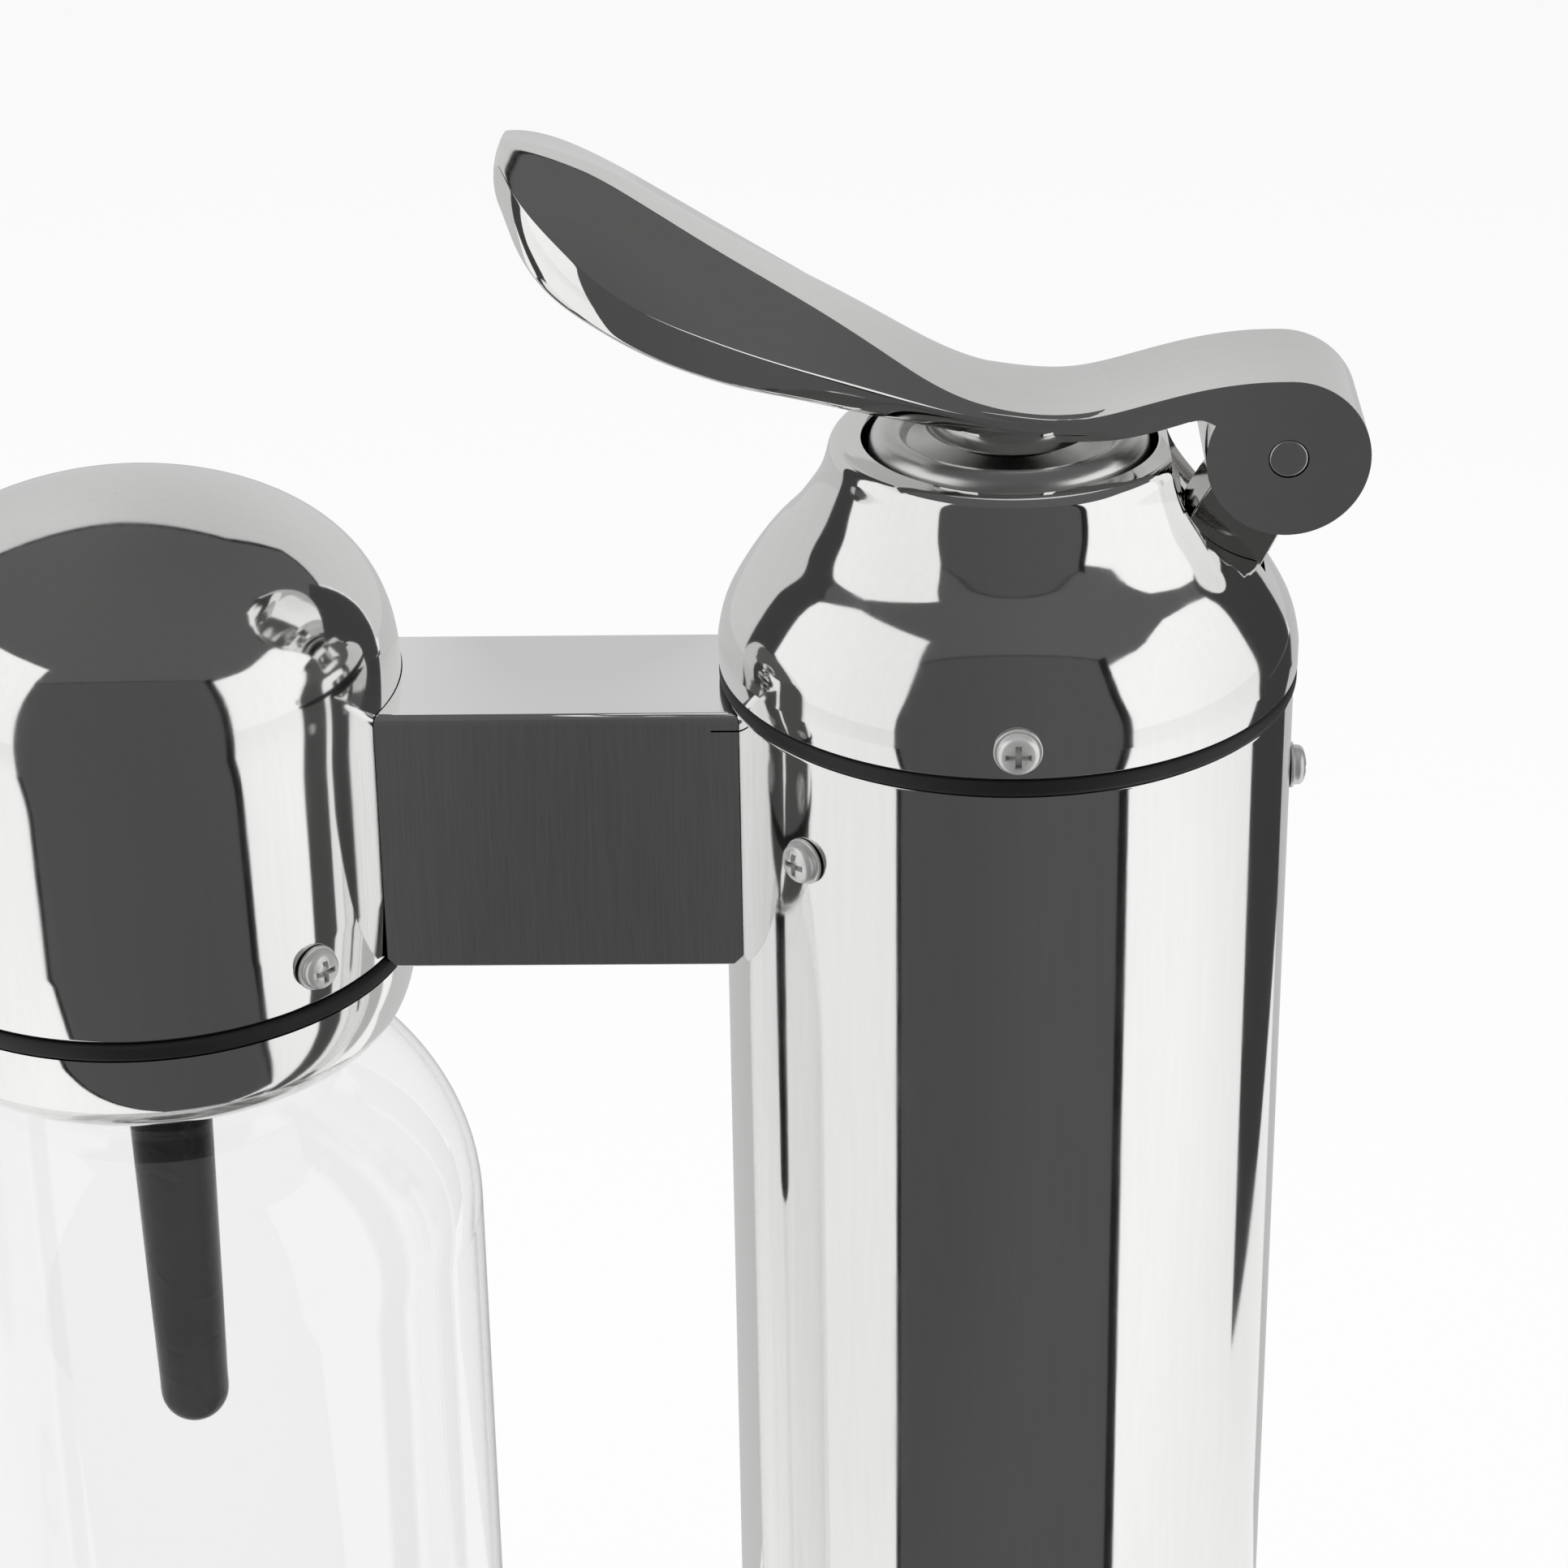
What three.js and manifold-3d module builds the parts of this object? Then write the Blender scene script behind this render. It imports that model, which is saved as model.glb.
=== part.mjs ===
// Sparkling water maker: a steel tower with its gas cylinder, a pressing lever, an arm and a bottle head.
import * as THREE from "three";
import { mergeVertices } from "three/addons/utils/BufferGeometryUtils.js";
import Module from "manifold-3d";

const wasm = await Module();
wasm.setup();

// All sizes are millimetres, with +Z up and the origin on the table under the middle of the base.
// Heights of the pieces above the table hang on the seat, the joint between the tower and its cap.
const axisSpacing = 117.1;
const seatHeight = 336;
const fit = 0.3;
const seam = 0.1;
const overrun = 6;
const weldGap = 0.0005;
const roundSteps = 40;
const smallSteps = 16;
const screwSteps = 12;

const base = { endR: 62, coverHeight: 10.6, wall: 1.5, edgeR: 2.5, plateThickness: 3, mouthR: 31.5 };
const foot = { r: 8, height: 3, insetX: 30, insetY: 30 };
const tray = { r: 54, wall: 1.2, height: 5, lipR: 1.6 };
const tower = { r: 38, wall: 1.5 };
const locator = { wall: 4, height: 10 };
const towerGasket = { height: 2.4, proud: 0.4, wall: 2.4 };
const cap = { skirtR: 38.5, shoulderR: 22.3, height: 31.3, wall: 1.8, skirtWall: 2, holeR: 19.25 };
const pocket = { r: 15.2, halfWidth: 11.6, wall: 1.4, shiftX: 0.2, drop: 1.3 };
const valveBlock = {
  top: 9.3, bottom: 26, rodBoreDepth: 15, cavityTop: 8.2, chamferHeight: 4.1, chamfer: 1.8,
};
const cylinder = { r: 30, shoulderDrop: 62, neckDrop: 34, neckR: 10, foot: 4, wall: 4 };
const cylinderValve = { r: 13, boreR: 2.6, boreDepth: 6.2, flangeR: 16, flangeHeight: 4 };
const button = { r: 18.3, rimTop: 32.6, rimWidth: 4.9, rimR: 2.4, dish: 29.2, bottom: 25.4 };
const rod = { r: 6, tipR: 2.2, shoulder: 1, tip: 9.2 };
const guide = { wall: 2.4, height: 7 };
const spring = { meanR: 12, wireR: 0.9, turns: 5 };
const pin = { x: 35.4, z: 31.3, r: 2.5, gap: 0.2 };
const bracket = { halfWidth: 5, bossR: 5, footX: 23.4, footTop: 3, footHalfWidth: 8, footReach: 6 };
const bracketToe = { x: 32.8, z: 14.4 };
const bracketHeel = { x: 25.1, z: 24.4 };
const knuckle = { r: 10.55, halfWidth: 9.5, swingDegrees: 6 };
const neck = { top: 37.1, thickness: 3.2, notchX: 23.8, notchZ: 36.7 };
const boss = { r: 11, curveR: 20, top: 35.5 };
const paddle = { tip: 64.2, start: 1, halfWidth: 23.9, rise: 34.2, ridge: 6.5, edge: 6.1, bulge: 1.4 };
const arm = { halfDepth: 13.3, top: 2.7, bottom: 40, wall: 1.5 };
const hose = { r: 3, boreR: 1.7, drop: 17, inset: 7 };
const spine = { halfWidth: 8, top: 20.5, bottom: 25 };
const head = { r: 36.1, rimDrop: 38.8, crown: 24, wall: 1.6 };
const headGasket = { height: 2.4, proud: 0.2, wall: 2.4 };
const collar = { r: 36.1, lipR: 30.8, drop: 12.4, wall: 1.8, mouthR: 27.4, lipRoll: 1.1 };
const headBlock = { top: 11, bottom: 49.2, skirtR: 24, socketR: 15.6, flangeDrop: 38.2 };
const seal = { height: 2.2 };
const nozzle = { r: 6.5, tipR: 4.9, taperFrom: 31, tip: 121.5, top: 13.8, orificeR: 1.2, orificeDepth: 8 };
const relief = { r: 5, height: 13, offset: 18, stemR: 2.4, stemHeight: 4 };
const bottle = { r: 43.2, wall: 1.2, neckR: 15, mouthDrop: 27, height: 250, heelR: 9, punt: 3 };
const shoulder = { top: 44.1, bottom: 86.9, reach: 58.1 };
const screw = {
  headR: 2.7, crownR: 2.2, headHeight: 1.7, washerR: 3.1, washerHeight: 0.5, shankR: 1.4, shankLength: 7,
};
const cross = { width: 0.8, length: 3.2, depth: 1 };
const screwAt = { capRise: 4.3, tubeDrop: 17, headDrop: 33 };

const capScrewAngles = [-Math.PI / 2, Math.PI / 2];
const tubeScrewAngles = [(-3 * Math.PI) / 4, (3 * Math.PI) / 4, 0];
const headScrewAngles = [-Math.PI / 4, Math.PI / 4, Math.PI];

const rightX = axisSpacing / 2;
const leftX = -axisSpacing / 2;
const coverBottom = foot.height + seam;
const coverTop = coverBottom + base.coverHeight;
const tubeTop = seatHeight - towerGasket.height - seam;
const headRim = seatHeight - head.rimDrop;
const collarTop = headRim - headGasket.height - seam;
const valveBlockR = tower.r - tower.wall - fit;

// Shares of the cap's shoulder width and height, from the skirt up to the flat ring.
const capShares = [
  [1, 0], [1, 0.176], [0.963, 0.256], [0.883, 0.339], [0.735, 0.454], [0.574, 0.55], [0.426, 0.639],
  [0.309, 0.735], [0.222, 0.824], [0.167, 0.901], [0.123, 0.955], [0.068, 0.987], [0, 1],
];
// Shares of the head's radius and height, from its rim up to the top of the dome.
const domeShares = [
  [0.99, 0], [1, 0.427], [0.997, 0.554], [0.988, 0.65], [0.942, 0.745], [0.857, 0.825], [0.737, 0.889],
  [0.571, 0.936], [0.405, 0.968], [0.21, 0.992],
];
// Shares of the paddle from its tip on: way along, half width, rise, ridge, flat between ridges, edge depth.
const paddleShares = [
  [1, 0.276, 1, 0.062, 0.136, 0.721], [0.985, 0.414, 0.968, 0.162, 0.111, 1.082],
  [0.96, 0.577, 0.927, 0.292, 0.101, 1.344], [0.905, 0.787, 0.851, 0.508, 0.106, 1.459],
  [0.813, 0.971, 0.708, 0.908, 0.103, 1.098], [0.721, 1, 0.588, 0.992, 0.117, 1],
  [0.629, 0.937, 0.491, 0.931, 0.152, 0.967], [0.537, 0.862, 0.401, 0.838, 0.199, 0.902],
  [0.445, 0.774, 0.316, 0.746, 0.265, 0.82], [0.353, 0.669, 0.234, 0.631, 0.369, 0.787],
  [0.261, 0.561, 0.149, 0.485, 0.522, 0.689], [0.169, 0.46, 0.064, 0.3, 0.745, 0.574],
  [0.077, 0.41, 0.015, 0.123, 0.878, 0.541], [0, 0.397, 0, 0.023, 0.916, 0.484],
];
// Shares of the way from the paddle's start to the pin, and of the lift from the neck to the knuckle's top.
const neckTopShares = [
  [-0.2, 0.28], [0, 0.04], [0.2, 0], [0.4, 0.21], [0.58, 0.47], [0.76, 0.78], [0.9, 0.96],
];
const neckUnderShares = [
  [0.575, 0.63], [0.49, 0.42], [0.43, 0.25], [0.2, 0.03], [0, 0], [-0.1, 0.05], [-0.2, 0.4],
];

const headBlockR = (head.r - head.wall) * domeShares[0][0] - fit;
// Shares of a paddle edge's bulge and depth down its side, and of the ridge's rise that the underside has.
const bulgeShares = [[1, 0.4], [0.7, 0.78], [-0.6, 1]];
const soffitShare = 0.4;

const polished = { color: 0xd2d2d0, metalness: 1, roughness: 0.08 };
const brushed = { color: 0xa8a8a6, metalness: 1, roughness: 0.35 };
const satin = { color: 0xc4c4c2, metalness: 1, roughness: 0.25 };
const rubber = { color: 0x141414, metalness: 0, roughness: 0.6 };
const blackPlastic = { color: 0x1b1b1c, metalness: 0, roughness: 0.4 };
const greyPlastic = { color: 0x4b4d50, metalness: 0, roughness: 0.5 };
const aluminium = { color: 0xb9bbbd, metalness: 1, roughness: 0.4 };
const brass = { color: 0xb99a52, metalness: 1, roughness: 0.3 };
const clear = { color: 0xeef2f2, metalness: 0, roughness: 0.05, transparent: true, opacity: 0.3 };

// A closed geometry as a solid.
function body(geometry) {
  const bare = geometry.index ? geometry.toNonIndexed() : geometry.clone();
  bare.deleteAttribute("normal");
  bare.deleteAttribute("uv");
  const welded = mergeVertices(bare, weldGap);
  const corners = welded.index.array;
  const kept = [];
  for (let i = 0; i < corners.length; i += 3) {
    const [a, b, c] = corners.slice(i, i + 3);
    if (a !== b && b !== c && c !== a) kept.push(a, b, c);
  }
  const vertProperties = welded.attributes.position.array;
  return new wasm.Manifold(new wasm.Mesh({ numProp: 3, vertProperties, triVerts: new Uint32Array(kept) }));
}

function piece(name, solid, look) {
  const made = solid.getMesh();
  const geometry = new THREE.BufferGeometry();
  geometry.setAttribute("position", new THREE.BufferAttribute(new Float32Array(made.vertProperties), 3));
  geometry.setIndex(new THREE.BufferAttribute(new Uint32Array(made.triVerts), 1));
  geometry.computeVertexNormals();
  const mesh = new THREE.Mesh(geometry, new THREE.MeshStandardMaterial(look));
  mesh.name = name;
  return mesh;
}

// A turned solid: the profile of [radius, height] runs upwards on the outside.
function turned(profile, steps = roundSteps) {
  const points = profile.map(([r, z]) => new THREE.Vector2(r, z));
  if (profile[0][0] > 0) points.push(points[0].clone());
  return body(new THREE.LatheGeometry(points, steps).rotateX(Math.PI / 2));
}

function disc(r, low, high, steps = roundSteps) {
  return turned([[0, low], [r, low], [r, high], [0, high]], steps);
}

function ring(innerR, outerR, low, high, steps = roundSteps) {
  return turned([[innerR, low], [outerR, low], [outerR, high], [innerR, high]], steps);
}

function block(lowX, highX, lowY, highY, lowZ, highZ) {
  const geometry = new THREE.BoxGeometry(highX - lowX, highY - lowY, highZ - lowZ);
  return body(geometry.translate((lowX + highX) / 2, (lowY + highY) / 2, (lowZ + highZ) / 2));
}

// A plate standing along X and Z, as thick as twice the half width.
function sidePlate(outline, halfWidth) {
  const shape = new THREE.Shape(outline.map(([x, z]) => new THREE.Vector2(x, z)));
  const geometry = new THREE.ExtrudeGeometry(shape, { depth: 2 * halfWidth, bevelEnabled: false });
  return body(geometry.rotateX(Math.PI / 2).translate(0, halfWidth, 0));
}

// A round bar that lies level and points away from the axis at the given angle.
function levelBar(r, from, to, angle, z, steps = screwSteps) {
  const geometry = new THREE.CylinderGeometry(r, r, to - from, steps);
  geometry.rotateZ(-Math.PI / 2).translate((from + to) / 2, 0, 0).rotateZ(angle).translate(0, 0, z);
  return body(geometry);
}

function arc(centreX, centreZ, r, fromDegrees, toDegrees, steps) {
  return Array.from({ length: steps + 1 }, (_, i) => {
    const turn = THREE.MathUtils.degToRad(fromDegrees + ((toDegrees - fromDegrees) * i) / steps);
    return [centreX + r * Math.cos(turn), centreZ + r * Math.sin(turn)];
  });
}

// The outline of a band stretched round points and circles given as points.
function stretched(points) {
  const sorted = [...points].sort((a, b) => a[0] - b[0] || a[1] - b[1]);
  const half = (list) => {
    const kept = [];
    for (const p of list) {
      while (kept.length > 1) {
        const [a, b] = kept.slice(-2);
        if ((b[0] - a[0]) * (p[1] - a[1]) - (b[1] - a[1]) * (p[0] - a[0]) > 0) break;
        kept.pop();
      }
      kept.push(p);
    }
    return kept.slice(0, -1);
  };
  return [...half(sorted), ...half(sorted.reverse())];
}

// A plate with two round ends, rounded along its upper edge.
function stadium(endR, height, edgeR) {
  const shape = new THREE.Shape();
  shape.absarc(rightX, 0, endR - edgeR, -Math.PI / 2, Math.PI / 2);
  shape.absarc(leftX, 0, endR - edgeR, Math.PI / 2, (3 * Math.PI) / 2);
  const bevel = { bevelEnabled: edgeR > 0, bevelThickness: edgeR, bevelSize: edgeR, bevelSegments: 2 };
  const depth = height - edgeR;
  const geometry = new THREE.ExtrudeGeometry(shape, { depth, curveSegments: smallSteps, ...bevel });
  const reach = rightX + endR + overrun;
  return body(geometry).subtract(block(-reach, reach, -reach, reach, -reach, 0));
}

function baseCover() {
  const outer = stadium(base.endR, base.coverHeight, base.edgeR);
  const innerHeight = base.coverHeight - base.wall + overrun;
  const inner = stadium(base.endR - base.wall, innerHeight, base.edgeR - base.wall);
  const mouth = disc(base.mouthR, -overrun, base.coverHeight + overrun).translate(rightX, 0, 0);
  const hollow = inner.translate(0, 0, -overrun);
  return outer.subtract(hollow).subtract(mouth).translate(0, 0, coverBottom);
}

function basePlate() {
  const reach = base.endR - base.wall - fit;
  const plate = stadium(reach, base.plateThickness, 0);
  const mouth = disc(base.mouthR, -overrun, overrun).translate(rightX, 0, 0);
  return plate.subtract(mouth).translate(0, 0, coverBottom);
}

function dripTray() {
  const low = coverTop + seam;
  const high = low + tray.height;
  const profile = [
    [0, low], [tray.r - tray.height, low], [tray.r - tray.wall, low + tray.wall], [tray.r, low + tray.lipR],
    [tray.r, high], [tray.r - tray.lipR, high], [tray.r - tray.lipR, low + tray.wall + tray.lipR],
    [tray.r - tray.height - tray.wall, low + tray.wall], [0, low + tray.wall],
  ];
  return turned(profile);
}

// The cap's outer or inner form, filled to the axis.
function capSolid(skirtR, shoulderR, height, below) {
  const rise = capShares.map(([r, z]) => [shoulderR + r * (skirtR - shoulderR), z * height]);
  return turned([[0, -below], [skirtR, -below], ...rise.slice(below > 0 ? 0 : 1), [0, height]]);
}

function towerCap() {
  const outer = capSolid(cap.skirtR, cap.shoulderR, cap.height, 0);
  const innerR = cap.skirtR - cap.skirtWall;
  const hollow = capSolid(innerR, cap.shoulderR - cap.wall, cap.height - cap.wall, overrun);
  const centreX = pin.x + pocket.shiftX;
  const centreZ = pin.z - pocket.drop;
  const dentOf = (wall) =>
    sidePlate(arc(centreX, centreZ, pocket.r + wall, 0, 345, smallSteps * 2), pocket.halfWidth + wall);
  const hole = disc(cap.holeR, button.bottom - overrun, cap.height + overrun);
  const slotX = bracket.footX - 2 * fit;
  const slot = block(slotX, bracketToe.x + 2 * fit, -bracket.halfWidth - fit, bracket.halfWidth + fit,
    valveBlock.top, bracketHeel.z + 2 * fit);
  const inside = hollow.subtract(dentOf(pocket.wall));
  let shell = outer.subtract(dentOf(0)).subtract(inside).subtract(hole).subtract(slot);
  for (const angle of capScrewAngles) {
    shell = shell.subtract(screwHole(cap.skirtR, angle, screwAt.capRise));
  }
  return shell.translate(0, 0, seatHeight);
}

function screwHole(surfaceR, angle, z) {
  const r = screw.shankR + fit;
  return levelBar(r, surfaceR - screw.shankLength - 2 * fit, surfaceR + overrun, angle, z);
}

function hosePort(surfaceR, angle) {
  return levelBar(hose.r + fit, hose.inset, surfaceR + overrun, angle, seatHeight - hose.drop);
}

function spineSlot(lowX, highX) {
  const halfWidth = spine.halfWidth + fit;
  const low = seatHeight - spine.bottom - fit;
  return block(lowX, highX, -halfWidth, halfWidth, low, seatHeight - spine.top + fit);
}

function towerTube() {
  let tube = ring(tower.r - tower.wall, tower.r, coverTop + seam, tubeTop);
  for (const angle of tubeScrewAngles) {
    tube = tube.subtract(screwHole(tower.r, angle, seatHeight - screwAt.tubeDrop));
  }
  return tube.subtract(hosePort(tower.r, Math.PI)).subtract(spineSlot(-tower.r - overrun, 0));
}

function towerGasketRing() {
  const outer = tower.r + towerGasket.proud;
  return ring(outer - towerGasket.wall, outer, tubeTop + seam, seatHeight - seam);
}

function valveBlockSolid() {
  const top = seatHeight + valveBlock.top;
  const bottom = seatHeight - valveBlock.bottom;
  const stepR = tower.r + towerGasket.proud - towerGasket.wall - fit;
  const profile = [
    [0, bottom], [valveBlockR, bottom], [valveBlockR, tubeTop - seam], [stepR, tubeTop - seam],
    [stepR, seatHeight], [valveBlockR, seatHeight], [valveBlockR, top - valveBlock.chamferHeight],
    [valveBlockR - valveBlock.chamfer, top], [0, top],
  ];
  const rodBore = disc(rod.r + fit, top - valveBlock.rodBoreDepth, top + overrun, smallSteps);
  const tipBore = disc(cylinderValve.boreR, bottom, top, smallSteps);
  const cavityTop = seatHeight - valveBlock.cavityTop;
  const cavity = disc(cylinderValve.r + fit, bottom - overrun, cavityTop, roundSteps / 2);
  let solid = turned(profile).subtract(rodBore).subtract(tipBore).subtract(cavity);
  for (const angle of tubeScrewAngles) {
    solid = solid.subtract(screwHole(tower.r, angle, seatHeight - screwAt.tubeDrop));
  }
  for (const angle of capScrewAngles) {
    solid = solid.subtract(screwHole(cap.skirtR, angle, seatHeight + screwAt.capRise));
  }
  return solid.subtract(hosePort(tower.r, Math.PI));
}

function cylinderOutline(inset) {
  const low = foot.height + cylinder.foot + inset;
  const r = cylinder.r - inset;
  const neckR = cylinder.neckR - inset;
  const shoulderZ = seatHeight - cylinder.shoulderDrop;
  const rise = cylinder.shoulderDrop - cylinder.neckDrop - inset;
  const round = arc(0, 0, 1, 0, 75, 4).map(([x, z]) => [neckR + (r - neckR) * x, shoulderZ + rise * z]);
  const heel = [[r - 2 * cylinder.foot, low], [r - cylinder.foot, low], [r, low + cylinder.foot]];
  return [[0, low + cylinder.foot], ...heel, ...round, [neckR, shoulderZ + rise]];
}

function co2Cylinder() {
  const top = seatHeight - valveBlock.bottom - cylinderValve.flangeHeight - seam;
  const outer = turned([...cylinderOutline(0), [cylinder.neckR, top], [0, top]], roundSteps / 2);
  const mouth = [[cylinder.neckR - cylinder.wall, top + overrun], [0, top + overrun]];
  return outer.subtract(turned([...cylinderOutline(cylinder.wall), ...mouth], roundSteps / 2));
}

function cylinderValveSolid() {
  const low = seatHeight - valveBlock.bottom - cylinderValve.flangeHeight;
  const flangeTop = seatHeight - valveBlock.bottom - fit;
  const top = seatHeight - valveBlock.cavityTop - fit;
  const profile = [
    [0, low], [cylinderValve.flangeR, low], [cylinderValve.flangeR, flangeTop], [cylinderValve.r, flangeTop],
    [cylinderValve.r, top], [cylinderValve.boreR, top],
    [cylinderValve.boreR, top - cylinderValve.boreDepth], [0, top - cylinderValve.boreDepth],
  ];
  return turned(profile, roundSteps / 2).subtract(hosePort(cylinderValve.r, Math.PI));
}

function pushButton() {
  const rimCentre = button.r - button.rimR;
  const low = button.bottom;
  const shelf = button.rimTop - button.rimR;
  const inner = button.r - button.rimWidth;
  const lift = (button.rimTop - button.dish) / 2;
  const rim = arc(rimCentre, shelf, button.rimR, 0, 150, 7);
  const dish = [[inner, button.dish + lift], [inner / 2, button.dish + lift / 4], [0, button.dish]];
  const foot = [[0, low], [button.r - button.rimR, low], [button.r, low + button.rimR / 2]];
  const profile = [...foot, ...rim, ...dish];
  return turned(profile).translate(0, 0, seatHeight);
}

function pushRod() {
  const top = seatHeight + button.bottom - seam;
  const ledge = seatHeight - rod.shoulder;
  const tip = seatHeight - rod.tip;
  const stem = [[0, tip], [rod.tipR, tip], [rod.tipR, ledge]];
  return turned([...stem, [rod.r, ledge], [rod.r, top], [0, top]], smallSteps);
}

function rodGuide() {
  const low = seatHeight + valveBlock.top + seam;
  const inner = rod.r + fit;
  return ring(inner, inner + guide.wall, low, low + guide.height, smallSteps);
}

// The spring's wire runs on this helix, from flat to flat.
class Coil extends THREE.Curve {
  getPoint(t, target = new THREE.Vector3()) {
    const low = seatHeight + valveBlock.top + spring.wireR + seam;
    const high = seatHeight + button.bottom - spring.wireR - seam;
    const turn = 2 * Math.PI * spring.turns * t;
    return target.set(spring.meanR * Math.cos(turn), spring.meanR * Math.sin(turn), low + (high - low) * t);
  }
}

function buttonSpring() {
  const wire = new THREE.Shape(
    arc(0, 0, spring.wireR, 0, 288, 4).map(([x, z]) => new THREE.Vector2(x, z)),
  );
  const steps = spring.turns * 8;
  const geometry = new THREE.ExtrudeGeometry(wire, { steps, extrudePath: new Coil(), bevelEnabled: false });
  return body(geometry);
}

function hingeBracket() {
  const low = valveBlock.top + seam;
  const round = arc(pin.x, pin.z, bracket.bossR, 0, 345, 23);
  const arm = sidePlate(stretched([...round, [bracketToe.x, bracketToe.z], [bracketHeel.x, bracketHeel.z]]),
    bracket.halfWidth);
  const stem = sidePlate([[bracket.footX, low], [bracketToe.x, low], [bracketToe.x, bracketToe.z],
    [bracketHeel.x, bracketHeel.z], [bracket.footX, bracketHeel.z - bracket.footTop]], bracket.halfWidth);
  const footPlate = block(bracket.footX, bracket.footX + bracket.footReach, -bracket.footHalfWidth,
    bracket.footHalfWidth, low, low + bracket.footTop);
  const bore = sidePlate(arc(pin.x, pin.z, pin.r + pin.gap, 0, 342, 19), bracket.halfWidth + overrun);
  return arm.add(stem).add(footPlate).subtract(bore).translate(0, 0, seatHeight);
}

function hingePin() {
  return sidePlate(arc(pin.x, pin.z, pin.r, 0, 342, 19), knuckle.halfWidth).translate(0, 0, seatHeight);
}

// The pieces of the lever stand at their heights above the seat.
function leverKnuckle() {
  const span = pin.x - paddle.start;
  const lift = pin.z + knuckle.r - neck.top;
  const under = neck.top - neck.thickness;
  const top = neckTopShares.map(([x, z]) => [paddle.start + x * span, neck.top + z * lift]);
  const belly = neckUnderShares.map(([x, z]) => [paddle.start + x * span, under + z * lift]);
  const round = arc(pin.x, pin.z, knuckle.r, 90, -205, 36);
  return sidePlate([...top, ...round, [neck.notchX, neck.notchZ], ...belly], knuckle.halfWidth);
}

function leverPaddle() {
  const rings = paddleShares.map(([, , rise, ridge, flat, depth], i) => {
    const place = (row) => [paddle.start - row[0] * (paddle.tip + paddle.start), row[1] * paddle.halfWidth];
    const [x, half] = place(paddleShares[i]);
    const before = place(paddleShares[Math.max(i - 1, 0)]);
    const after = place(paddleShares[Math.min(i + 1, paddleShares.length - 1)]);
    const slope = new THREE.Vector2(before[1] - after[1], after[0] - before[0]).normalize();
    const edgeZ = neck.top + rise * paddle.rise;
    const ridgeZ = edgeZ + ridge * paddle.ridge;
    const low = edgeZ - depth * paddle.edge;
    const side = bulgeShares.map(([out, down]) => [
      x + slope.x * out * paddle.bulge, half + slope.y * out * paddle.bulge, edgeZ + (low - edgeZ) * down,
    ]);
    const soffit = low + (ridgeZ - edgeZ) * soffitShare;
    const right = [[x, flat * half, ridgeZ], [x, half, edgeZ], ...side, [x, half / 2, soffit]];
    return [...right, ...right.map(([px, py, pz]) => [px, -py, pz]).reverse()];
  });
  return body(lofted(rings));
}

function lofted(rings) {
  const count = rings[0].length;
  const index = [];
  for (let i = 0; i + 1 < rings.length; i++) {
    for (let j = 0; j < count; j++) {
      const a = i * count + j;
      const b = i * count + ((j + 1) % count);
      index.push(a, a + count, b, b, a + count, b + count);
    }
  }
  const last = (rings.length - 1) * count;
  for (let j = 1; j + 1 < count; j++) {
    index.push(0, j, j + 1, last, last + j + 1, last + j);
  }
  const geometry = new THREE.BufferGeometry();
  geometry.setAttribute("position", new THREE.BufferAttribute(new Float32Array(rings.flat(2)), 3));
  return geometry.setIndex(index);
}

function leverSlot() {
  const polar = (point, gap, degrees) => {
    const arm = new THREE.Vector2(point.x - pin.x, point.z - pin.z);
    const turn = arm.angle() + THREE.MathUtils.degToRad(degrees);
    const reach = arm.length() + gap;
    return [pin.x + reach * Math.cos(turn), pin.z + reach * Math.sin(turn)];
  };
  const round = arc(pin.x, pin.z, bracket.bossR + 2 * fit, 0, 345, 23);
  const swing = knuckle.swingDegrees + 2;
  const outline = stretched([...round, polar(bracketHeel, overrun, -swing), polar(bracketToe, fit, 2),
    polar(bracketToe, overrun, -swing)]);
  return sidePlate(outline, bracket.halfWidth + fit);
}

function leverBoss() {
  const centreZ = button.dish + fit + boss.curveR;
  const edge = THREE.MathUtils.radToDeg(Math.asin(boss.r / boss.curveR));
  const dome = arc(0, centreZ, boss.curveR, -90, -90 + edge, 5);
  return turned([...dome, [boss.r, boss.top], [0, boss.top]], smallSteps);
}

function lever() {
  const bore = sidePlate(arc(pin.x, pin.z, pin.r + pin.gap, 0, 342, 19), knuckle.halfWidth + overrun);
  const solid = leverKnuckle().add(leverPaddle()).add(leverBoss()).subtract(leverSlot()).subtract(bore);
  return solid.translate(0, 0, seatHeight);
}

function armEnds(r) {
  const low = seatHeight - arm.bottom - overrun;
  const high = seatHeight + overrun;
  const towerCut = disc(tower.r + towerGasket.proud + r, low, high).translate(rightX, 0, 0);
  const headCut = disc(head.r + r, low, high).translate(leftX, 0, 0);
  return towerCut.add(headCut);
}

function armShell() {
  const top = seatHeight - arm.top;
  const bottom = seatHeight - arm.bottom;
  const outer = block(leftX, rightX, -arm.halfDepth, arm.halfDepth, bottom, top);
  const inside = arm.halfDepth - arm.wall;
  const hollow = block(leftX - overrun, rightX + overrun, -inside, inside, bottom - overrun, top - arm.wall);
  return outer.subtract(hollow).subtract(armEnds(fit));
}

function armFloor() {
  const half = arm.halfDepth - arm.wall - seam;
  const low = seatHeight - arm.bottom + seam;
  return block(leftX, rightX, -half, half, low, low + arm.wall).subtract(armEnds(fit));
}

function armSpine() {
  const low = seatHeight - spine.bottom;
  const bar = block(leftX, rightX, -spine.halfWidth, spine.halfWidth, low, seatHeight - spine.top);
  const blocks = disc(valveBlockR + fit, low - overrun, seatHeight).translate(rightX, 0, 0);
  const headEnd = disc(headBlockR + fit, low - overrun, seatHeight).translate(leftX, 0, 0);
  return bar.subtract(blocks).subtract(headEnd);
}

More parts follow.
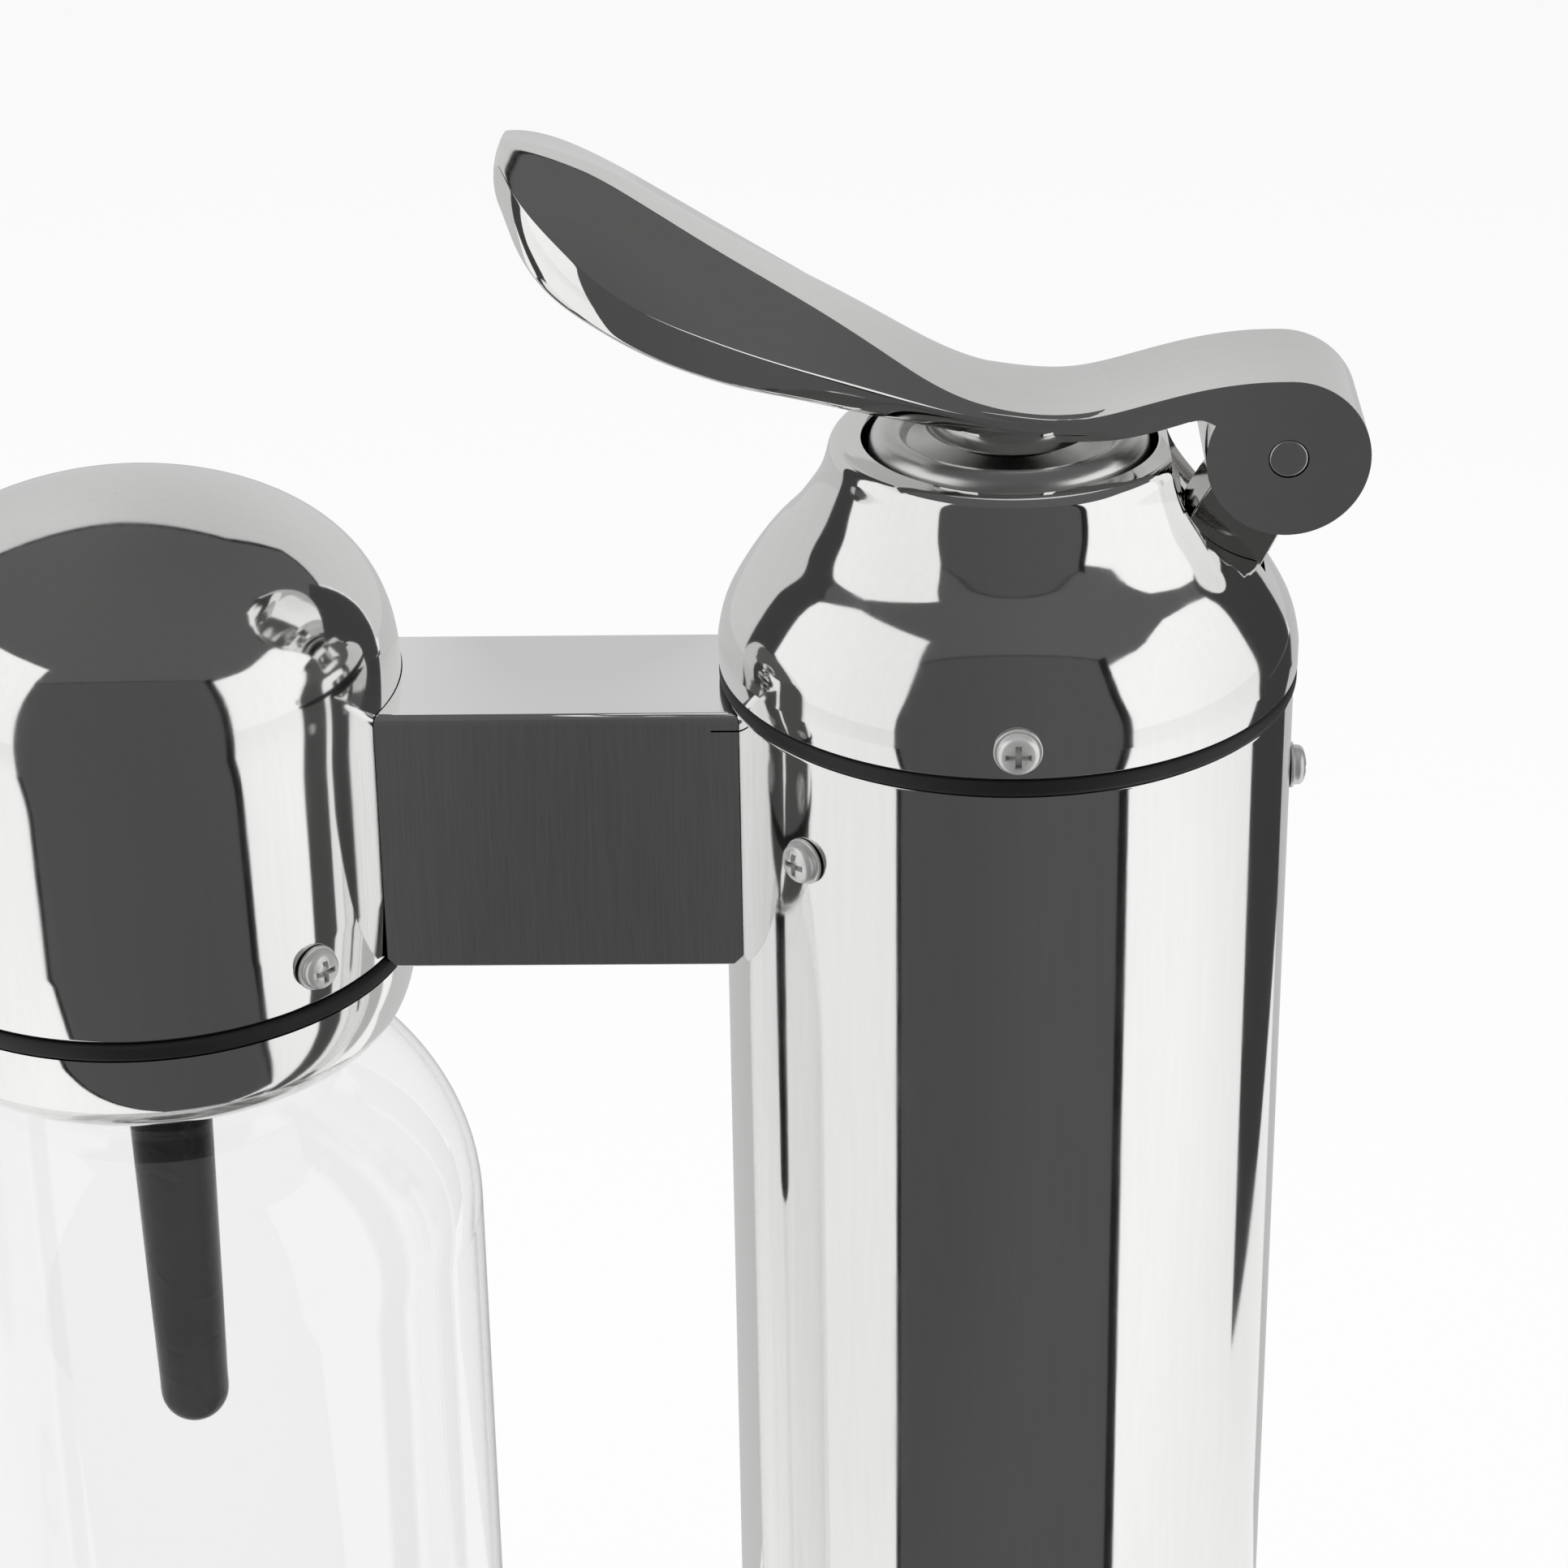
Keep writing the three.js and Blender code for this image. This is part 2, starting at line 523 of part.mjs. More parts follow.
function gasHose() {
  const from = leftX + nozzle.r + hose.inset;
  const to = rightX - cylinderValve.r - hose.inset;
  const z = seatHeight - hose.drop;
  const bore = levelBar(hose.boreR, from - overrun, to + overrun, 0, z, smallSteps / 2);
  return levelBar(hose.r, from, to, 0, z).subtract(bore);
}

function headShell() {
  const rise = head.rimDrop + head.crown;
  const outline = (r, height) => domeShares.map(([across, up]) => [r * across, headRim + height * up]);
  const outer = turned([[0, headRim], ...outline(head.r, rise), [0, headRim + rise]]);
  const innerRise = rise - head.wall;
  const innerR = head.r - head.wall;
  const innerSide = [[innerR * domeShares[0][0], headRim - overrun], ...outline(innerR, innerRise)];
  const inner = turned([[0, headRim - overrun], ...innerSide, [0, headRim + innerRise]]);
  let shell = outer.subtract(inner).subtract(hosePort(head.r, 0)).subtract(spineSlot(0, head.r + overrun));
  for (const angle of headScrewAngles) {
    shell = shell.subtract(screwHole(head.r, angle, seatHeight - screwAt.headDrop));
  }
  return shell;
}

function headBlockSolid() {
  const bottom = seatHeight - headBlock.bottom;
  const flange = seatHeight - headBlock.flangeDrop;
  const top = seatHeight - headBlock.top;
  const outer = turned([[0, bottom], [headBlock.skirtR, bottom], [headBlock.skirtR, flange],
    [headBlockR, flange], [headBlockR, top], [0, top]]);
  const mouth = seatHeight - bottle.mouthDrop + fit;
  const socket = disc(headBlock.socketR, bottom - overrun, mouth + seal.height + seam, roundSteps / 2);
  const bore = disc(nozzle.r + fit, bottom, seatHeight - nozzle.top + fit, smallSteps);
  const reliefBore = disc(relief.stemR + fit, top - relief.stemHeight - fit, top + overrun, smallSteps);
  let solid = outer.subtract(socket).subtract(bore).subtract(hosePort(head.r, 0));
  solid = solid.subtract(reliefBore.translate(-relief.offset, 0, 0));
  for (const angle of headScrewAngles) {
    solid = solid.subtract(screwHole(head.r, angle, seatHeight - screwAt.headDrop));
  }
  return solid;
}

function headGasketRing() {
  const outer = head.r + headGasket.proud;
  return ring(outer - headGasket.wall, outer, headRim - headGasket.height, headRim - seam);
}

function headCollar() {
  const low = collarTop - collar.drop;
  const sweep = (r, lip, drop) =>
    arc(0, 0, 1, 90, 0, 6).map(([x, z]) => [lip + (r - lip) * x, collarTop - drop * z]);
  const outer = sweep(collar.r, collar.lipR, collar.drop);
  const inner = sweep(collar.r - collar.wall, collar.lipR - collar.wall, collar.drop - collar.wall).reverse();
  const roll = [
    [collar.mouthR, low + collar.lipRoll / 2], [collar.mouthR + collar.lipRoll, low - collar.lipRoll / 2],
  ];
  return turned([...roll, ...outer, [collar.r, collarTop], [collar.r - collar.wall, collarTop], ...inner]);
}

function bottleSeal() {
  const low = seatHeight - bottle.mouthDrop + fit;
  return ring(nozzle.r + fit, headBlock.socketR - fit, low, low + seal.height, roundSteps / 2);
}

function nozzleSolid() {
  const tip = seatHeight - nozzle.tip;
  const taperZ = seatHeight - nozzle.taperFrom;
  const top = seatHeight - nozzle.top;
  const round = arc(0, tip + nozzle.tipR, nozzle.tipR, -75, 0, 4);
  const hole = disc(nozzle.orificeR, tip - overrun, tip + nozzle.orificeDepth, smallSteps / 2);
  const profile = [[0, tip], ...round, [nozzle.r, taperZ], [nozzle.r, top], [0, top]];
  return turned(profile, smallSteps).subtract(hole);
}

function reliefValve() {
  const top = seatHeight - headBlock.top;
  const profile = [
    [0, top - relief.stemHeight], [relief.stemR, top - relief.stemHeight], [relief.stemR, top + seam],
    [relief.r, top + seam], [relief.r, top + relief.height], [0, top + relief.height],
  ];
  return turned(profile, smallSteps).translate(-relief.offset, 0, 0);
}

function bottleWall(inset) {
  const r = bottle.r - inset;
  const neckR = bottle.neckR - inset;
  const low = seatHeight - bottle.mouthDrop - bottle.height + inset;
  const heel = arc(r - bottle.heelR, low + bottle.heelR, bottle.heelR, -90, 0, 3);
  const stop = THREE.MathUtils.radToDeg(Math.acos((neckR - r + shoulder.reach) / shoulder.reach));
  const rise = shoulder.bottom - shoulder.top - inset;
  const dome = arc(0, 0, 1, 0, stop, 9).map(([x, z]) => [
    r - shoulder.reach + shoulder.reach * x, seatHeight - shoulder.bottom + rise * z,
  ]);
  return [[0, low + bottle.punt], ...heel, ...dome];
}

function bottleSolid() {
  const mouth = seatHeight - bottle.mouthDrop;
  const outer = turned([...bottleWall(0), [bottle.neckR, mouth], [0, mouth]]);
  const neckR = bottle.neckR - bottle.wall;
  return outer.subtract(turned([...bottleWall(bottle.wall), [neckR, mouth + overrun], [0, mouth + overrun]]));
}

function screwSolid() {
  const washer = screw.washerHeight;
  const crown = washer + screw.headHeight;
  const profile = [
    [0, -screw.shankLength], [screw.shankR, -screw.shankLength], [screw.shankR, 0], [screw.washerR, 0],
    [screw.washerR, washer], [screw.headR, washer], [screw.headR, (washer + 2 * crown) / 3],
    [screw.crownR, crown], [0, crown],
  ];
  const half = cross.length / 2;
  const arms = [[half, cross.width / 2], [cross.width / 2, half]];
  return arms.reduce(
    (solid, [x, y]) => solid.subtract(block(-x, x, -y, y, crown - cross.depth, crown + overrun)),
    turned(profile, screwSteps),
  );
}

function screws(name, surfaceR, z, angles) {
  return angles.map((angle, i) => {
    const mesh = piece(name + "_" + (i + 1), screwSolid(), satin);
    const r = surfaceR + seam;
    mesh.position.set(r * Math.cos(angle), r * Math.sin(angle), z);
    mesh.rotation.set(0, Math.PI / 2, angle, "ZYX");
    return mesh;
  });
}

function feet() {
  const places = [[1, 1], [1, -1], [-1, 1], [-1, -1]];
  return places.map(([sideX, sideY], i) => {
    const x = rightX + base.endR - foot.insetX;
    const mesh = piece("foot_" + (i + 1), disc(foot.r, 0, foot.height, smallSteps), rubber);
    mesh.position.set(sideX * x, sideY * (base.endR - foot.insetY), 0);
    return mesh;
  });
}

const baseGroup = new THREE.Group();
baseGroup.add(
  piece("base_plate", basePlate(), greyPlastic),
  piece("base_cover", baseCover(), brushed),
  ...feet(),
);

const towerGroup = new THREE.Group();
towerGroup.position.x = rightX;
const locatorR = tower.r - tower.wall - fit;
towerGroup.add(
  piece("tube_locator", ring(locatorR - locator.wall, locatorR, coverTop + seam, coverTop + locator.height),
    blackPlastic),
  piece("tower_tube", towerTube(), polished),
  piece("co2_cylinder", co2Cylinder(), aluminium),
  piece("cylinder_valve", cylinderValveSolid(), brass),
  piece("valve_block", valveBlockSolid(), blackPlastic),
  piece("tower_gasket", towerGasketRing(), rubber),
  piece("tower_cap", towerCap(), polished),
  piece("push_button", pushButton(), satin),
  piece("push_rod", pushRod(), brass),
  piece("rod_guide", rodGuide(), greyPlastic),
  piece("button_spring", buttonSpring(), satin),
  piece("hinge_bracket", hingeBracket(), polished),
  piece("hinge_pin", hingePin(), satin),
  piece("lever", lever(), polished),
  ...screws("cap_screw", cap.skirtR, seatHeight + screwAt.capRise, capScrewAngles),
  ...screws("tube_screw", tower.r, seatHeight - screwAt.tubeDrop, tubeScrewAngles),
);

const armGroup = new THREE.Group();
armGroup.add(
  piece("arm_shell", armShell(), brushed),
  piece("arm_floor", armFloor(), brushed),
  piece("arm_spine", armSpine(), satin),
  piece("gas_hose", gasHose(), greyPlastic),
);

const headGroup = new THREE.Group();
headGroup.position.x = leftX;
headGroup.add(
  piece("head_shell", headShell(), polished),
  piece("head_block", headBlockSolid(), blackPlastic),
  piece("head_gasket", headGasketRing(), rubber),
  piece("head_collar", headCollar(), polished),
  piece("relief_valve", reliefValve(), brass),
  piece("bottle_seal", bottleSeal(), rubber),
  piece("nozzle", nozzleSolid(), blackPlastic),
  piece("bottle", bottleSolid(), clear),
  piece("drip_tray", dripTray(), polished),
  ...screws("head_screw", head.r, seatHeight - screwAt.headDrop, headScrewAngles),
);

const waterMaker = new THREE.Group();
waterMaker.add(baseGroup, towerGroup, armGroup, headGroup);

export default waterMaker;
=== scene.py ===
import math
from contextlib import contextmanager

import bmesh
import bpy
from bpy.props import FloatProperty, FloatVectorProperty, PointerProperty
from mathutils import Matrix, Vector


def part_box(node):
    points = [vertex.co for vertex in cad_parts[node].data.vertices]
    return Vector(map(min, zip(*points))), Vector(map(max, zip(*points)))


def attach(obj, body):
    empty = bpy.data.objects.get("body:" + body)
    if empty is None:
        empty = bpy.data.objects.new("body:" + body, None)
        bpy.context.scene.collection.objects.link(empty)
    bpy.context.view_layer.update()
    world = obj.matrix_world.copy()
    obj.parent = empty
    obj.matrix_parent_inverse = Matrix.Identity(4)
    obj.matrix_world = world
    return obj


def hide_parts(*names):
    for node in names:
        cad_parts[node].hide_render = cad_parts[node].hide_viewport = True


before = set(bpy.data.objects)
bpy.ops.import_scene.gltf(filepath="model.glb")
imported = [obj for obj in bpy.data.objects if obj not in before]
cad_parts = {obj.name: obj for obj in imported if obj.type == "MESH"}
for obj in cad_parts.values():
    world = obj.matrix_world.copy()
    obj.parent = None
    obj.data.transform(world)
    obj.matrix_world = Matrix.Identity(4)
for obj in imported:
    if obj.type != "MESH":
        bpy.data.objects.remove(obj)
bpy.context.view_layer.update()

bl_info = {
    "name": "Sparkling Water Maker",
    "version": (1, 0, 0),
    "blender": (4, 5, 0),
    "location": "3D View > Sidebar > Water Maker",
    "description": "Smooth pieces, finishes and studio for a sparkling water maker",
    "category": "Object",
}

# Units: metres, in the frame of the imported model.
MM = 0.001


def centre_x(node):
    """The X of a round node's upright axis."""
    low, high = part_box(node)
    return (low.x + high.x) / 2


TOWER_X = centre_x("tower_tube")
HEAD_X = centre_x("head_shell")
SEAT_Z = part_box("tower_cap")[0].z

# The play between pieces that move on each other, and the radii of the arm's hollow ends.
FIT = 0.3 * MM
TOWER_END_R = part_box("tower_tube")[1].x - TOWER_X + 0.2 * FIT
HEAD_END_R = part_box("head_shell")[1].x - HEAD_X + 0.2 * FIT

ROUND_SIDES = 160
SMALL_SIDES = 48
ARC_STEPS = 6
POLE_R = 0.08 * MM
WELD = 0.0005 * MM


# Settings that a user would change.

def size(name, description, default):
    """A length in metres."""
    return FloatProperty(name=name, description=description, default=default, unit="LENGTH", precision=5)


def shade(name, description, default):
    """A linear colour without alpha."""
    return FloatVectorProperty(
        name=name, description=description, default=default, size=3, min=0, max=1, subtype="COLOR")


class TowerSizes(bpy.types.PropertyGroup):
    tube_wall: size("Tube wall", "Thickness of the tower's tube", 1.5 * MM)
    tube_edge_r: size("Tube edge radius", "Radius of the tube's edges", 0.35 * MM)
    gasket_wall: size("Gasket wall", "Width of the black ring under the cap", 2.4 * MM)
    gasket_edge_r: size("Gasket edge radius", "Radius of the ring's outer edges", 0.7 * MM)
    cap_skirt_r: size("Cap radius", "Radius of the cap's skirt", 38.45 * MM)
    cap_height: size("Cap height", "Height of the cap's flat ring above the seat", 31.3 * MM)
    cap_hole_r: size("Cap hole radius", "Radius of the hole round the button", 19.25 * MM)
    cap_wall: size("Cap wall", "Thickness of the pressed cap", 1.6 * MM)
    seam_turn: FloatProperty(
        name="Seam turn", description="Degrees from the front to the tube's welded seam", default=3.375)
    button_r: size("Button radius", "Radius of the push button", 18.3 * MM)
    button_top: size("Button rim height", "Height of the button's rolled rim above the seat", 32.6 * MM)
    button_dish: size("Button dish height", "Height of the middle of the dish above the seat", 29.2 * MM)
    button_rim_r: size("Button rim roll", "Radius of the button's rolled rim", 2.4 * MM)


class LeverSizes(bpy.types.PropertyGroup):
    pin_r: size("Pin radius", "Radius of the hinge pin", 2.5 * MM)
    knuckle_r: size("Knuckle radius", "Radius of the round end about the pin", 10.55 * MM)
    knuckle_half: size("Knuckle half width", "Half of the width of the lever at its pin", 9.5 * MM)


class ArmSizes(bpy.types.PropertyGroup):
    wall: size("Arm wall", "Thickness of the folded arm", 1.5 * MM)
    fold_r: size("Arm fold radius", "Radius of the arm's folded upper edges", 1.3 * MM)
    hem_r: size("Arm hem radius", "Radius of the arm's lower edges", 0.5 * MM)


class HeadSizes(bpy.types.PropertyGroup):
    wall: size("Dome wall", "Thickness of the pressed dome", 1.6 * MM)
    bead_r: size("Dome edge radius", "Radius of the dome's rolled lower edge", 0.6 * MM)
    gasket_wall: size("Gasket wall", "Width of the black ring under the dome", 2.4 * MM)
    gasket_edge_r: size("Gasket edge radius", "Radius of the ring's outer edges", 0.6 * MM)
    collar_lip_r: size("Collar lip radius", "Radius of the collar at its lip", 30.8 * MM)
    collar_mouth_r: size("Collar mouth radius", "Radius of the collar's mouth", 27.4 * MM)
    nozzle_tip_r: size("Nozzle tip radius", "Radius of the nozzle at its rounded tip", 4.9 * MM)


class BottleSizes(bpy.types.PropertyGroup):
    wall: size("Bottle wall", "Thickness of the bottle", 1.2 * MM)
    heel_r: size("Bottle heel radius", "Radius of the bottle's lower edge", 9 * MM)
    neck_r: size("Bottle neck radius", "Radius of the bottle's neck", 15 * MM)
    shoulder_top: size("Shoulder top drop", "Drop of the shoulder ellipse's top below the seat", 44.1 * MM)
    shoulder_bottom: size("Shoulder bottom drop", "Drop of the ellipse's widest level below the seat",
                          86.9 * MM)
    shoulder_reach: size("Shoulder reach", "Half of the width of the shoulder's ellipse", 58.1 * MM)


class BaseSizes(bpy.types.PropertyGroup):
    wall: size("Cover wall", "Thickness of the base cover", 1.5 * MM)
    edge_r: size("Cover edge radius", "Radius of the cover's upper edge", 2.5 * MM)
    mouth_r: size("Cover mouth radius", "Radius of the hole that the cylinder goes in through", 31.5 * MM)
    tray_wall: size("Tray wall", "Thickness of the drip tray", 1.2 * MM)


class ScrewSizes(bpy.types.PropertyGroup):
    head_r: size("Screw head radius", "Radius of a screw's head", 2.7 * MM)
    washer_r: size("Washer radius", "Radius of a screw's washer", 3.1 * MM)
    washer_height: size("Washer thickness", "Thickness of a screw's washer", 0.5 * MM)
    head_height: size("Screw head height", "Height of a screw's head over its washer", 1.7 * MM)
    recess: size("Recess depth", "Depth of the cross recess", 1.0 * MM)


class FinishColours(bpy.types.PropertyGroup):
    steel: shade("Polished steel", "Colour of the polished steel", (0.90, 0.90, 0.89))
    brushed: shade("Brushed steel", "Colour of the brushed steel", (0.95, 0.95, 0.945))
    # The bracket's colour is the polished steel made darker: painted shade for the bracket under the knuckle.
    bracket: shade("Bracket steel", "Colour of the hinge's bracket", (0.66, 0.65, 0.635))
    satin: shade("Satin steel", "Colour of the satin steel", (0.82, 0.82, 0.81))
    rubber: shade("Rubber", "Colour of the rubber", (0.008, 0.008, 0.008))
    black: shade("Black plastic", "Colour of the black plastic", (0.009, 0.009, 0.009))
    grey: shade("Grey plastic", "Colour of the grey plastic", (0.07, 0.075, 0.08))
    aluminium: shade("Aluminium", "Colour of the gas cylinder", (0.52, 0.53, 0.54))
    brass: shade("Brass", "Colour of the valve", (0.60, 0.42, 0.16))
    clear: shade("Clear plastic", "Colour of the bottle", (0.95, 0.95, 0.95))


class StudioSettings(bpy.types.PropertyGroup):
    floor_white: FloatProperty(
        name="Floor white", description="How white the floor shows whatever falls on it", default=0.85, min=0,
        max=1, subtype="FACTOR")
    ambient: FloatProperty(name="Ambient", description="Strength of the even light", default=0.55, min=0)
    key_power: FloatProperty(
        name="Key power", description="Power of the soft light overhead", default=14, min=0, unit="POWER")
    side_power: FloatProperty(
        name="Side power", description="Power of the soft light at the left", default=5, min=0, unit="POWER")


class WaterMakerSettings(bpy.types.PropertyGroup):
    tower: PointerProperty(type=TowerSizes)
    lever: PointerProperty(type=LeverSizes)
    arm: PointerProperty(type=ArmSizes)
    head: PointerProperty(type=HeadSizes)
    bottle: PointerProperty(type=BottleSizes)
    base: PointerProperty(type=BaseSizes)
    screw: PointerProperty(type=ScrewSizes)
    colours: PointerProperty(type=FinishColours)
    studio: PointerProperty(type=StudioSettings)


# Outlines.

def rounded(corners, loop=False):
    """Points of an outline whose corners (r, z, radius) are rounded off with arcs."""
    points = []
    ends = () if loop else (0, len(corners) - 1)
    for i, (r, z, radius) in enumerate(corners):
        corner = Vector((r, z))
        if radius == 0 or i in ends:
            points.append((r, z))
            continue
        back = (Vector(corners[i - 1][:2]) - corner).normalized()
        ahead = (Vector(corners[(i + 1) % len(corners)][:2]) - corner).normalized()
        half = back.angle(ahead) / 2
        reach = radius / math.tan(half)
        hub = corner + (back + ahead).normalized() * radius / math.sin(half)
        first, last = corner + back * reach - hub, corner + ahead * reach - hub
        for step in range(ARC_STEPS + 1):
            spoke = first.normalized().slerp(last.normalized(), step / ARC_STEPS) * radius
            points.append(tuple(hub + spoke))
    return points


def flowing(points, steps):
    """A smooth run from the first point to the last that is drawn towards the points between them."""
    held = [points[0]] * 2 + list(points) + [points[-1]] * 2
    held = [Vector(p) for p in held]
    run = []
    for a, b, c, d in zip(held, held[1:], held[2:], held[3:]):
        for step in range(steps):
            t = step / steps
            near = (1 - t) ** 3 * a + (3 * t**3 - 6 * t**2 + 4) * b
            far = (-3 * t**3 + 3 * t**2 + 3 * t + 1) * c + t**3 * d
            run.append(tuple((near + far) / 6))
    run.append(tuple(held[-1]))
    return [p for i, p in enumerate(run) if i == 0 or (Vector(p) - Vector(run[i - 1])).length > WELD]


def arc(r, z, reach, rise, start, end, steps):
    """Points on an ellipse about (r, z), from one angle to another in degrees."""
    turns = [math.radians(start + (end - start) * i / steps) for i in range(steps + 1)]
    return [(r + reach * math.cos(a), z + rise * math.sin(a)) for a in turns]


def inset(points, wall):
    """The same run of points moved inwards, to the left of its direction, by the wall."""
    moved = []
    for i, point in enumerate(points):
        before, after = Vector(points[max(i - 1, 0)]), Vector(points[min(i + 1, len(points) - 1)])
        along = (after - before).normalized()
        moved.append((point[0] - along.y * wall, point[1] + along.x * wall))
    return moved


# Modelling steps.

def deselect():
    if bpy.context.mode != "OBJECT":
        bpy.ops.object.mode_set(mode="OBJECT")
    bpy.ops.object.select_all(action="DESELECT")


def pick(piece):
    deselect()
    piece.select_set(True)
    bpy.context.view_layer.objects.active = piece


@contextmanager
def editing(piece, kind="VERT"):
    """Edit mode on one piece with all of it selected."""
    pick(piece)
    bpy.ops.object.mode_set(mode="EDIT")
    bpy.ops.mesh.select_mode(type=kind)
    bpy.ops.mesh.select_all(action="SELECT")
    yield
    bpy.ops.object.mode_set(mode="OBJECT")


def modify(piece, kind, **settings):
    """Applies one modifier with its settings."""
    pick(piece)
    step = piece.modifiers.new(kind.lower(), kind)
    for key, value in settings.items():
        setattr(step, key, value)
    bpy.ops.object.modifier_apply(modifier=step.name)


def added(name):
    """The primitive that was just added, under its own name and with its place put into its mesh."""
    piece = bpy.context.active_object
    piece.name = name
    piece.data.name = name
    settle(piece)
    return piece


def settle(piece):
    """Puts a piece's place into its mesh."""
    pick(piece)
    bpy.ops.object.transform_apply(location=True, rotation=True, scale=True)


def place(piece, matrix):
    """Moves a piece that was modelled at the origin to its place."""
    piece.matrix_world = matrix
    settle(piece)


def turn_outwards(piece):
    """Merges what meets and turns the faces of a closed piece outwards."""
    with editing(piece):
        bpy.ops.mesh.remove_doubles(threshold=WELD)
        bpy.ops.mesh.normals_make_consistent(inside=False)


def make_closed(piece):
    """Merges what meets, fills what is open and turns the faces outwards."""
    with editing(piece, "EDGE"):
        bpy.ops.mesh.remove_doubles(threshold=WELD)
        bpy.ops.mesh.select_all(action="DESELECT")
        bpy.ops.mesh.select_non_manifold(use_verts=False, use_wire=False, use_multi_face=False)
        bpy.ops.mesh.edge_face_add()
        bpy.ops.mesh.select_all(action="SELECT")
        bpy.ops.mesh.fill_holes(sides=0)
        bpy.ops.mesh.normals_make_consistent(inside=False)


def turn(name, outline, x=0.0, sides=ROUND_SIDES, loop=False):
    """A turned piece. Its outline of (radius, height) closes on itself, or is capped at both ends."""
    deselect()
    run = [(max(r, POLE_R), z) for r, z in outline]
    if loop:
        run.append(run[0])
    bpy.ops.mesh.primitive_circle_add(vertices=sides, radius=run[0][0], location=(x, 0, run[0][1]))
    piece = added(name)
    with editing(piece, "EDGE"):
        for (r, z), (next_r, next_z) in zip(run, run[1:]):
            bpy.ops.mesh.extrude_edges_move(TRANSFORM_OT_translate={"value": (0, 0, next_z - z)})
            grow = next_r / r
            bpy.ops.transform.resize(value=(grow, grow, 1), center_override=(x, 0, next_z))
    make_closed(piece)
    return piece


def box(name, low, high):
    """A block between two corners."""
    deselect()
    low, high = Vector(low), Vector(high)
    bpy.ops.mesh.primitive_cube_add(size=1, location=(low + high) / 2, scale=high - low)
    return added(name)


def cylinder(name, r, low, high, x=0.0, sides=ROUND_SIDES, **values):
    """An upright round bar."""
    deselect()
    bpy.ops.mesh.primitive_cylinder_add(
        vertices=sides, radius=r, depth=high - low, location=(x, 0, (low + high) / 2), **values)
    return added(name)


def combine(piece, operation, others):
    """Cuts the others out of the piece or joins them to it, and removes them."""
    for other in others:
        modify(piece, "BOOLEAN", operation=operation, solver="EXACT", object=other)
        bpy.data.objects.remove(other)


def cut(piece, *tools):
    combine(piece, "DIFFERENCE", tools)


def weld_on(piece, *parts):
    combine(piece, "UNION", parts)


def bevel(piece, width, segments=3, degrees=35):
    """Rounds the edges that are sharper than the angle."""
    modify(piece, "BEVEL", width=width, segments=segments, limit_method="ANGLE",
           angle_limit=math.radians(degrees))


def level_flats(piece, degrees=30):
    """Keeps flat faces flat in the shading beside their rounded edges."""
    pick(piece)
    bpy.ops.object.shade_smooth_by_angle(angle=math.radians(degrees))
    modify(piece, "WEIGHTED_NORMAL", keep_sharp=True, weight=80)


def round_box(node_name):
    """A round node's radius and the heights of its foot and top."""
    low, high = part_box(node_name)
    return (high.x - low.x) / 2, low.z, high.z


def select_edges(mesh, test):
    """Selects the edges of an edit-mode mesh whose two ends pass the test."""
    mesh.select_mode = {"EDGE"}
    for vertex in mesh.verts:
        vertex.select = False
    for edge in mesh.edges:
        edge.select = test(*(v.co for v in edge.verts))
    mesh.select_flush_mode()


def dress(piece, *nodes, body="frame", degrees=30):
    """Gives a finished piece its smooth shading, material and body, and hides the nodes it stands for."""
    pick(piece)
    if degrees:
        bpy.ops.object.shade_smooth_by_angle(angle=math.radians(degrees))
    paint(piece, nodes[0])
    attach(piece, body)
    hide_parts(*nodes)


def gasket(node_name, wall, edge_r, x):
    """A black ring with rounded outer edges."""
    r, low, high = round_box(node_name)
    corners = [(r, low, edge_r), (r, high, edge_r), (r - wall, high, 0), (r - wall, low, 0)]
    dress(turn(f"{node_name}_smooth", rounded(corners, loop=True), x, loop=True), node_name)


# Effects shared by the materials.

FLOAT, VECTOR = "NodeSocketFloat", "NodeSocketVector"


def make_group(name, inputs, outputs):
    """An empty node group with its inputs, each with its kind and default, and its numbers given out."""
    group = bpy.data.node_groups.new(name, "ShaderNodeTree")
    for label, kind, default in inputs:
        made = group.interface.new_socket(name=label, in_out="INPUT", socket_type=kind)
        made.default_value = default
    for label in outputs:
        group.interface.new_socket(name=label, in_out="OUTPUT", socket_type=FLOAT)
    start = group.nodes.new("NodeGroupInput")
    end = group.nodes.new("NodeGroupOutput")
    return group, start.outputs, end.inputs


def node(tree, kind, settings=None, **values):
    """Adds a node, sets its properties and then the sockets given by name."""
    made = tree.nodes.new(kind)
    for key, value in (settings or {}).items():
        setattr(made, key, value)
    for key, value in values.items():
        target = made.inputs[int(key[1:])] if key[0] == "_" else made.inputs[key.replace("_", " ")]
        if isinstance(value, bpy.types.NodeSocket):
            tree.links.new(value, target)
        else:
            target.default_value = value
    return made


def calc(tree, operation, *values):
    """The result of a sum on numbers or sockets."""
    return node(tree, "ShaderNodeMath", {"operation": operation},
                **{f"_{i}": value for i, value in enumerate(values)}).outputs[0]


